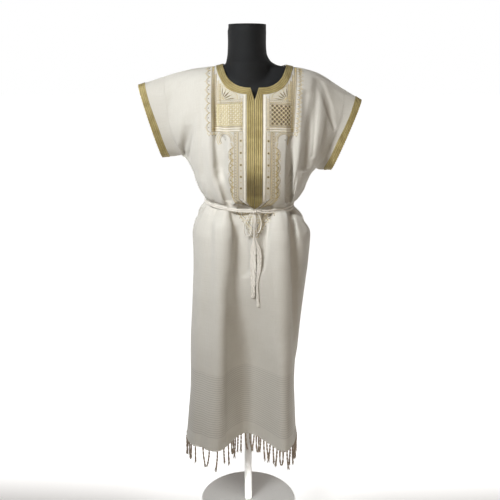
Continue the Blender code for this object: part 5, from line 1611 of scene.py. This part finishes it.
class Stitches(Gathered):
    """Threads of one colour laid on the flat cloth. hand is -1 left of the placket and 1 right of it."""

    def __init__(self, cloth):
        super().__init__()
        self.cloth, self.hand = cloth, 1

    def put(self, points, faces, flats):
        super().put(np.asarray(points, float) * (self.hand, 1, 1), faces, flats)

    def line(self, points, width=0.0013, height=0.0007, closed=False):
        """A thread along flat points."""
        points = np.asarray(points, float)
        if closed:
            points = np.concatenate([points, points[:1]])
        forward = np.gradient(points, axis=0)
        if closed:
            forward[0] = forward[-1] = forward[0] + forward[-1]
        side = unit(forward)[:, ::-1] * (1, -1)
        along = lengths(points)
        made, flats = [], []
        for a, b in ((-0.5, 0.0), (-0.28, 1.0), (0.28, 1.0), (0.5, 0.0)):
            place = points + side * width * a
            made.append(np.column_stack([place, np.full(len(points), b * height)]))
            flats.append(np.column_stack([np.full(len(points), a * width), along]))
        made = np.array(made).transpose(1, 0, 2).reshape(-1, 3)
        flats = np.array(flats).transpose(1, 0, 2).reshape(-1, 2)
        self.put(made, tube_faces(len(points), 4), flats)

    def curve(self, points, **sizes):
        """A thread along a line with a place about every two millimetres."""
        points = np.asarray(points, float)
        length = np.linalg.norm(np.diff(points, axis=0), axis=1).sum()
        self.line(evenly(points, max(3, int(length / 0.0022) + 1)), **sizes)

    def ring(self, s, t, radius, width=0.0011, height=0.0007, sides=10):
        self.line(circle(s, t, radius, sides), width, height, closed=True)

    def patch(self, outline, height=0.0006):
        """A filled shape: a low dome inside a closed flat outline."""
        outline = np.asarray(outline, float)
        middle = outline.mean(axis=0)
        count = len(outline)
        rim = np.column_stack([outline, np.zeros(count)])
        inner = np.column_stack([middle + (outline - middle) * 0.7, np.full(count, height)])
        top = [[*middle, height * 1.15]]
        faces = [[i, (i + 1) % count, count + (i + 1) % count, count + i] for i in range(count)]
        faces += [[count + i, count + (i + 1) % count, 2 * count] for i in range(count)]
        faces.append(list(range(count))[::-1])
        points = np.concatenate([rim, inner, top])
        self.put(points, faces, points[:, :2])

    def dot(self, s, t, radius, height=0.0009):
        self.patch(circle(s, t, radius, 8), height)

    def leaf(self, start, end, width):
        """A pointed leaf between two flat points."""
        start, end = np.asarray(start, float), np.asarray(end, float)
        aside = unit(end - start)[::-1] * (1, -1)
        share = np.linspace(0, 1, 7)
        swell = np.sin(np.pi * share) ** 0.8 * width / 2
        middle = start + (end - start) * share[:, None]
        one, two = middle + aside * swell[:, None], middle - aside * swell[:, None]
        self.patch(np.concatenate([one, two[-2:0:-1]]), 0.0007)

    def made(self, name, finish):
        s, t, out = np.concatenate(self.places).T
        places = self.cloth.at(s, t, (relief(self.cloth, s, t) + out + STITCH_GAP)[:, None])
        made = new_object(name, places, self.faces, finish, np.concatenate(self.flats), sharp=35)
        return made


def between(start, end, pitch):
    """Flat points from start to end, a pitch apart as near as whole steps allow."""
    start, end = np.asarray(start, float), np.asarray(end, float)
    count = max(1, round(float(np.linalg.norm(end - start)) / pitch))
    return start + (end - start) * ((np.arange(count) + 0.5) / count)[:, None]


def chain(threads, start, end, pitch, radius, **sizes):
    """Rings of thread side by side along a straight line."""
    for s, t in between(start, end, pitch):
        threads.ring(s, t, radius, **sizes)


def dots(threads, start, end, pitch, radius):
    for s, t in between(start, end, pitch):
        threads.dot(s, t, radius)


def zigzag(threads, start, end, pitch, reach, **sizes):
    """A thread that goes from side to side of a straight line."""
    start, end = np.asarray(start, float), np.asarray(end, float)
    count = max(2, round(float(np.linalg.norm(end - start)) / pitch) * 2)
    share = np.linspace(0, 1, count + 1)
    aside = unit(end - start)[::-1] * (1, -1)
    swing = np.where(np.arange(count + 1) % 2 == 0, -reach, reach)
    threads.line(start + (end - start) * share[:, None] + aside * swing[:, None], **sizes)


def scallops(threads, start, end, pitch, depth, outward, **sizes):
    """Half rounds side by side along a straight line, on its outward side."""
    start, end, outward = (np.asarray(v, float) for v in (start, end, outward))
    count = max(1, round(float(np.linalg.norm(end - start)) / pitch))
    share = np.linspace(0, 1, 9)
    for i in range(count):
        step = (end - start) / count
        arc = start + step * (i + (1 - np.cos(np.pi * share))[:, None] / 2)
        threads.line(arc + outward * depth * np.sin(np.pi * share)[:, None], **sizes)


def neck_clear(s, t, room):
    """Whether a flat point is outside the neck's braid, with room to spare."""
    return past_neck(s, t, -1) > BRAID_WIDTH + room


def lattice(gold, tan, brown, cream, dense_shaded_side):
    """Rows of diamonds in a double border: large brown fills as painted shade on the dense, shaded side,
    small cream ones elsewhere.
    """
    low = YOKE_LOW
    left, right = DENSE_EDGE if dense_shaded_side else OPEN_EDGE, BAND_EDGE
    columns = round((right - left - 0.004) / LATTICE)
    pitch = (right - left - 0.002) / columns
    top = YOKE_MIDDLE + 0.0065
    rows = int((low - 0.0015 - top) / pitch * 2 - 0.5)
    step = (low - 0.0015 - top) / (rows + 1)
    half_s, half_t = pitch / 2, step
    for j in range(rows):
        odd = j % 2
        for i in range(columns - odd):
            s = left + 0.001 + (i + 0.5 + 0.5 * odd) * pitch
            t = top + (j + 1) * step
            diamond = np.array([(s, t - half_t), (s + half_s, t), (s, t + half_t), (s - half_s, t)])
            middle = (s, t)
            gold.line(middle + (diamond - middle) * 0.90, 0.0014, 0.0007, closed=True)
            # The large brown fill on the dense side stands in for its shade: painted shade.
            filling, size = (brown, 0.66) if dense_shaded_side else (cream, 0.34)
            filling.patch(middle + (diamond - middle) * size, 0.0003)
            cream.ring(s + half_s, t, 0.0017, 0.0010, 0.0011, sides=8)
            if i == 0:
                cream.ring(s - half_s, t, 0.0017, 0.0010, 0.0011, sides=8)
    border = ((left, top), (right, top), (right, low), (left, low))
    for grown, threads in ((0.0, tan), (0.0024, gold)):
        shifts = ((-grown, -grown), (grown, -grown), (grown, grown), (-grown, grown))
        corners = [(s + a, t + b) for (s, t), (a, b) in zip(border, shifts)]
        for start, end in zip(corners, corners[1:] + corners[:1]):
            threads.curve([start, end], width=0.0012, height=0.0006)


def yoke_bands(gold, tan, brown, cream):
    """Bands below the lattice, beside the placket and above the lattice."""
    low = YOKE_LOW
    for t in (low + 0.0050, low + 0.0115):
        cream.line(np.linspace((INNER_EDGE + 0.010, t), (OUTER_EDGE - 0.012, t), 40), 0.0046, 0.0009)
        dots(gold, (INNER_EDGE + 0.012, t + 0.0033), (OUTER_EDGE - 0.013, t + 0.0033), 0.0052, 0.0010)
    for t in (low + 0.0018, low + 0.0083, low + 0.0150):
        tan.line(np.linspace((INNER_EDGE, t), (OUTER_EDGE, t), 40), 0.0010, 0.0006)
    for s in (INNER_EDGE + 0.0045, BAND_EDGE + 0.0065):
        gold.ring(s, low + 0.0083, 0.0040, 0.0015, 0.0009, sides=14)
        brown.dot(s, low + 0.0083, 0.0016)

    inner_top = NECK_DEPTH[-1] + BRAID_WIDTH + 0.004
    for s in (INNER_EDGE, INNER_EDGE + 0.0085):
        tan.line(np.linspace((s, inner_top), (s, low), 40), 0.0010, 0.0006)
    chain(gold, (INNER_EDGE + 0.0042, inner_top + 0.006), (INNER_EDGE + 0.0042, low), 0.0062, 0.0022)

    for t in (YOKE_MIDDLE - 0.003, YOKE_MIDDLE + 0.0030):
        tan.line(np.linspace((INNER_EDGE + 0.0085, t), (BAND_EDGE, t), 36), 0.0010, 0.0006)
    zigzag(gold, (INNER_EDGE + 0.010, YOKE_MIDDLE), (BAND_EDGE, YOKE_MIDDLE), 0.0056, 0.0021, width=0.0012)


def fan(gold, brown):
    """Leaves that spread from a corner towards the neck, between two arcs."""
    corner = np.array([0.0930, YOKE_MIDDLE - 0.0055])
    for angle, length, width in FAN:
        way = -np.array([math.cos(math.radians(angle)), math.sin(math.radians(angle))])
        reach = length
        while reach > 0.014 and not neck_clear(*(corner + way * reach), 0.004):
            reach -= 0.002
        brown.leaf(corner + way * 0.0075, corner + way * reach, width)
        gold.curve([corner + way * 0.004, corner + way * (reach + 0.002)], width=0.0009, height=0.0011)
    for radius in (0.0055, 0.0445):
        turn = np.radians(np.linspace(0, 90, 30))
        arc = corner - np.column_stack([np.cos(turn), np.sin(turn)]) * radius
        kept = np.array([p for p in arc if neck_clear(*p, 0.003)])
        if len(kept) > 2:
            gold.curve(kept, width=0.0014)
    gold.dot(0.0800, 0.1330, 0.0016)


def outer_rows(gold, tan, brown, dense_shaded_side):
    """Lines and chains down the outer side of the yoke, and scallops beyond them."""
    low = YOKE_LOW
    for s in (0.0960, 0.1020, BAND_EDGE, 0.1150, 0.1215):
        start = TOP
        while not neck_clear(s, start, 0.003):
            start += 0.003
        end = low + 0.015 if s >= BAND_EDGE else YOKE_MIDDLE - 0.003
        (gold if s < BAND_EDGE else tan).line(np.linspace((s, start), (s, end), 90), 0.0011, 0.0006)
        if s < 0.1215:
            chain(gold, (s + 0.0032, start + 0.002), (s + 0.0032, end), 0.0058, 0.0019)
    outer = OUTER_EDGE + 0.0005
    pitch = 0.0140 if dense_shaded_side else 0.0270
    for depth, threads, width in ((0.0125, gold, 0.0015), (0.0090, tan, 0.0010)):
        scallops(threads, (outer, TOP + 0.004), (outer, low + 0.016), pitch, depth, (1, 0), width=width)
    dots(brown, (outer + 0.0050, TOP + 0.004), (outer + 0.0050, low + 0.016), pitch, 0.0015)
    dots(gold, (outer + 0.0155, TOP + 0.004), (outer + 0.0155, low + 0.016), pitch, 0.0012)


def yoke(gold, tan, brown, cream, dense_shaded_side):
    """The square of close work beside the neck."""
    lattice(gold, tan, brown, cream, dense_shaded_side)
    yoke_bands(gold, tan, brown, cream)
    fan(gold, brown)
    outer_rows(gold, tan, brown, dense_shaded_side)


def side_band(gold, tan, brown):
    """The bands that run down beside the placket to the belt, with eyelets and a scalloped edge."""
    low = YOKE_LOW + 0.0165
    for s, threads in zip(BAND_LINES, (tan, tan, gold, tan)):
        threads.line(np.linspace((s, low), (s, BAND_LOW), 90), 0.0012, 0.0007)
    for t in np.arange(low + 0.024, BAND_LOW, EYELET_PITCH):
        gold.ring(EYELETS, t, 0.0031, 0.0013, 0.0008, sides=12)
        brown.dot(EYELETS, t, 0.0023, 0.0005)
    for t in np.arange(low + 0.007, BAND_LOW, EYELET_PITCH):
        gold.ring(EYELETS, t, 0.0014, 0.0009, 0.0006, sides=8)
    middle = ((BAND_ZIGZAG, low), (BAND_ZIGZAG, BAND_LOW))
    zigzag(gold, *middle, 0.0078, 0.0036, width=0.0013)
    dots(brown, *middle, 0.0078, 0.0011)

    s, t, radius = ARCH
    turn = np.radians(np.linspace(-10, 215, 40))
    for grown, threads, width in ((0.0, tan, 0.0012), (0.0032, gold, 0.0015), (0.0075, gold, 0.0011)):
        size = radius + grown
        threads.curve(np.column_stack([s - size * np.cos(turn), t - size * np.sin(turn)]), width=width)
    brown.dot(s + 0.004, t - 0.002, 0.0018)
    chain(gold, (s - radius, t + 0.006), (s - radius - 0.006, t + 0.022), 0.0055, 0.0018)
    scallops(gold, (0.1330, low), (s + radius + 0.006, low + 0.001), 0.0095, 0.0070, (0, 1))
    dots(brown, (0.1330, low + 0.0095), (s + radius + 0.006, low + 0.0095), 0.0095, 0.0012)

    start, half = t + 0.021, EYELET_PITCH / 2
    edge = ((0.0590, start), (0.0590, BAND_LOW))
    for depth, threads, width in ((0.0160, tan, 0.0010), (0.0125, gold, 0.0014), (0.0060, gold, 0.0010)):
        scallops(threads, *edge, half, depth * 0.62, (1, 0), width=width)
        scallops(threads, *edge, EYELET_PITCH, depth, (1, 0), width=width)
    dots(brown, (0.0685, start), (0.0685, BAND_LOW), EYELET_PITCH, 0.0015)
    dots(gold, (0.0745, start + half), (0.0745, BAND_LOW + half), EYELET_PITCH, 0.0012)


def point_work(gold, tan, brown):
    """Where the bands turn in under the placket's point, above and below the belt."""
    above, below = 0.4830, 0.4965
    slope, fall = 0.90, 1.28
    turn_in = 0.036 * slope
    for s, threads in zip((*BAND_LINES, 0.0690), (tan, brown, gold, tan, gold)):
        turn_low = (max(s - (above - BAND_LOW) * slope, 0.0045), above)
        threads.curve([(s, BAND_LOW), turn_low], width=0.0012)
    zigzag(gold, (BAND_ZIGZAG, BAND_LOW), (BAND_ZIGZAG - turn_in, above), 0.0070, 0.0030, width=0.0012)
    chain(gold, (0.0640, BAND_LOW), (0.0640 - turn_in, above), 0.0064, 0.0021)
    dots(brown, (EYELETS, BAND_LOW + 0.004), (EYELETS - 0.030 * slope, above), 0.0090, 0.0014)
    for wide, threads, width in ((0.0400, brown, 0.0011), (0.0465, gold, 0.0013), (0.0560, tan, 0.0011)):
        threads.curve([(wide, below), (0.0006, below + wide * fall)], width=width)
    low = below + 0.0560 * fall
    zigzag(gold, (0.0512, below), (0.0006, below + 0.0512 * fall), 0.0076, 0.0028, width=0.0012)
    start, end = np.array([0.0570, below]), np.array([0.0010, low + 0.001])
    outward = unit(np.array([end[1] - start[1], start[0] - end[0]]))
    for depth, threads in ((0.0085, gold), (0.0055, brown)):
        scallops(threads, start, end, 0.0128, depth, outward, width=0.0012)
    dots(brown, start + outward * 0.0118, end + outward * 0.0118, 0.0128, 0.0013)
    for row in range(4):
        t = below + 0.006 + row * 0.0085
        reach = 0.0375 - row * 0.0066
        if reach > 0.006:
            chain(gold, (0.002, t), (reach, t), 0.0072, 0.0023)


def embroidery(cloth, finishes):
    """All the needlework on the front, on each side of the placket, one piece for each thread colour."""
    gold, tan, brown, cream = colours = [Stitches(cloth) for _ in finishes]
    point = t_at_level(cloth, BELT_Z + PLACKET_ABOVE_BELT)
    for hand in (-1, 1):
        for threads in colours:
            threads.hand = hand
        yoke(gold, tan, brown, cream, dense_shaded_side=hand > 0)
        side_band(gold, tan, brown)
        point_work(gold, tan, brown)
        middle, width = (0.0284, 0.0080) if hand > 0 else (0.0275, 0.0066)
        top = neck_edge(-1, BRAID_WIDTH, middle) + 0.001
        cream.line(np.linspace((middle, top), (middle, point - 0.033), 120), width, 0.0009)
        inner = middle - width / 2 - 0.0006
        tan.line(np.linspace((inner, top), (inner, point - 0.034), 120), 0.0007, 0.0005)
    return [threads.made(f"embroidery_{word}", finishes[word]) for threads, word in zip(colours, finishes)]


def repaint(node, finish):
    """Give one of the solids that stay in view another finish."""
    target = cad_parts[node]
    target.data.materials.clear()
    target.data.materials.append(finish)
    for polygon in target.data.polygons:
        polygon.material_index = 0


def light(name, place, aim, size, power, colour, spread):
    """A lamp with a flat, rectangular face."""
    lamp = bpy.data.lights.new(name, "AREA")
    lamp.shape = "RECTANGLE"
    lamp.size, lamp.size_y = size
    lamp.energy = power
    lamp.spread = math.radians(spread)
    lamp.color = colour
    made = in_scene(name, lamp)
    made.location = place
    made.rotation_euler = (Vector(aim) - Vector(place)).to_track_quat("-Z", "Y").to_euler()


def set_camera():
    camera = bpy.data.cameras.new("camera")
    camera.lens, camera.sensor_width = LENS, 36.0
    camera.clip_start, camera.clip_end = 0.05, 40.0
    view = in_scene("camera", camera)
    view.location = CAMERA_PLACE
    view.rotation_euler = (math.radians(CAMERA_TILT), 0.0, 0.0)
    bpy.context.scene.camera = view


def set_room():
    """White low down beyond the dress, and the ceiling's colour elsewhere."""
    world = bpy.data.worlds.new("room")
    bpy.context.scene.world = world
    world.use_nodes = True
    room = Nodes(world.node_tree)
    way = room.add("ShaderNodeTexCoord").outputs["Generated"]
    low = room.range(room.part(way, 2), 0.30, 0.10, way="SMOOTHSTEP")
    ahead = room.range(room.part(way, 1), 0.20, 0.60, way="SMOOTHSTEP")
    colour = room.mix(room.product(low, ahead), CEILING, (1.0, 1.0, 1.0))
    background = world.node_tree.nodes["Background"]
    room.put(background.inputs["Color"], colour)
    background.inputs["Strength"].default_value = 1.0


def set_floor():
    """A pale floor that glows behind the dress and is darker near the camera."""
    finish = Finish("floor")
    depth = finish.part(finish.place, 1)
    marks = finish.range(finish.noise(finish.place, 3.0), 0.3, 0.7)
    pale = finish.mix(marks, (0.90, 0.90, 0.895), (0.93, 0.93, 0.925))
    colour = finish.mix(finish.range(depth, -0.30, -0.80), pale, (0.42, 0.40, 0.37))
    finish.ends(colour, 0.8, None, Emission_Color=(1.0, 1.0, 1.0, 1.0))
    finish.put(finish.shader.inputs["Emission Strength"], finish.range(depth, -0.15, 0.15, 0.0, 0.95))
    mesh = bpy.data.meshes.new("floor")
    corners = ((-1, -1), (1, -1), (1, 1), (-1, 1))
    mesh.from_pydata([(x * FLOOR_REACH, y * FLOOR_REACH, FLOOR_Z) for x, y in corners], [], [[0, 1, 2, 3]])
    mesh.materials.append(finish.material)
    floor = in_scene("floor", mesh)


def dress():
    """Every piece of the dress and its form, with what each is made of."""
    tree = form_tree()
    front, back = body_cloth(-1, tree), body_cloth(1, tree)
    join_normals(front, back)
    front.room = room_inside(front, tree)
    ribs = {c.side: (t_at_level(c, RIB_TOP), t_at_level(c, RIB_LOW)) for c in (front, back)}
    gold = braided("gold_braid_fine", *GOLD)
    sleeve_cotton = woven("cotton_sleeve", *COTTON)
    belt_cotton = woven("cotton_belt", *BELT_COTTON, thread=0.0006)
    fringe_cotton = threaded("cotton_fringe", *FRINGE_COTTON, 0.0012)

    for cloth, word in ((front, "front"), (back, "back")):
        worked = WORKED if word == "front" else ()
        finish = woven(f"cotton_{word}", *COTTON, ribs=ribs[cloth.side], worked=worked)
        fine_panel(f"{word}_cloth", cloth, PANEL_PITCH[cloth.side], finish)
        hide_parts(f"{word}_panel")
    for word, hand in (("left", -1), ("right", 1)):
        cloth = sleeve_cloth(front, back, hand)
        middle = cloth.points[len(cloth.t) // 2]
        cloth.girth = float(np.linalg.norm(np.diff(middle, axis=0), axis=1).sum())
        sleeve = fine_sleeve(f"sleeve_cloth_{word}", cloth, sleeve_cotton)
        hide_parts(f"sleeve_{word}")
        trim = cuff(f"cuff_{word}", cloth, gold)
        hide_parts(f"cuff_braid_{word}")
    braid = whole_braid(front, back, gold)
    silks = {word: threaded(f"{word}_thread", *pair, 0.0005, along=1) for word, pair in SILKS.items()}
    silks["cream"] = threaded("cream_thread", *CREAM_SILK, 0.0006, 0.4)
    needlework = embroidery(front, silks)
    tied = [
        belt(belt_cotton),
        knot(belt_cotton),
        belt_loop("belt_bow_left", "belt_loop_left", front, LEFT_LOOP, belt_cotton),
        belt_loop("belt_bow_right", "belt_loop_right", front, RIGHT_LOOP, belt_cotton),
    ]
    left_tail = belt_end("belt_tail_left", "belt_end_left", front, LEFT_END, 0.4, belt_cotton)
    right_tail = belt_end("belt_tail_right", "belt_end_right", front, RIGHT_END, 2.1, belt_cotton)
    for word, cloth, trims in (("front", front, [braid, *needlework]), ("back", back, [])):
        trims.append(fringe(f"tassels_{word}", f"fringe_{word}", cloth, fringe_cotton, sleeve_cotton))
    form_skin(jersey("form_jersey"))
    white = painted("stand_coat", STAND_WHITE)
    repaint("stand_pole", white)
    repaint("stand_foot", white)


bpy.context.scene.view_settings.view_transform = "Standard"
set_camera()
set_room()
set_floor()
for lamp in LAMPS:
    light(*lamp)
dress()
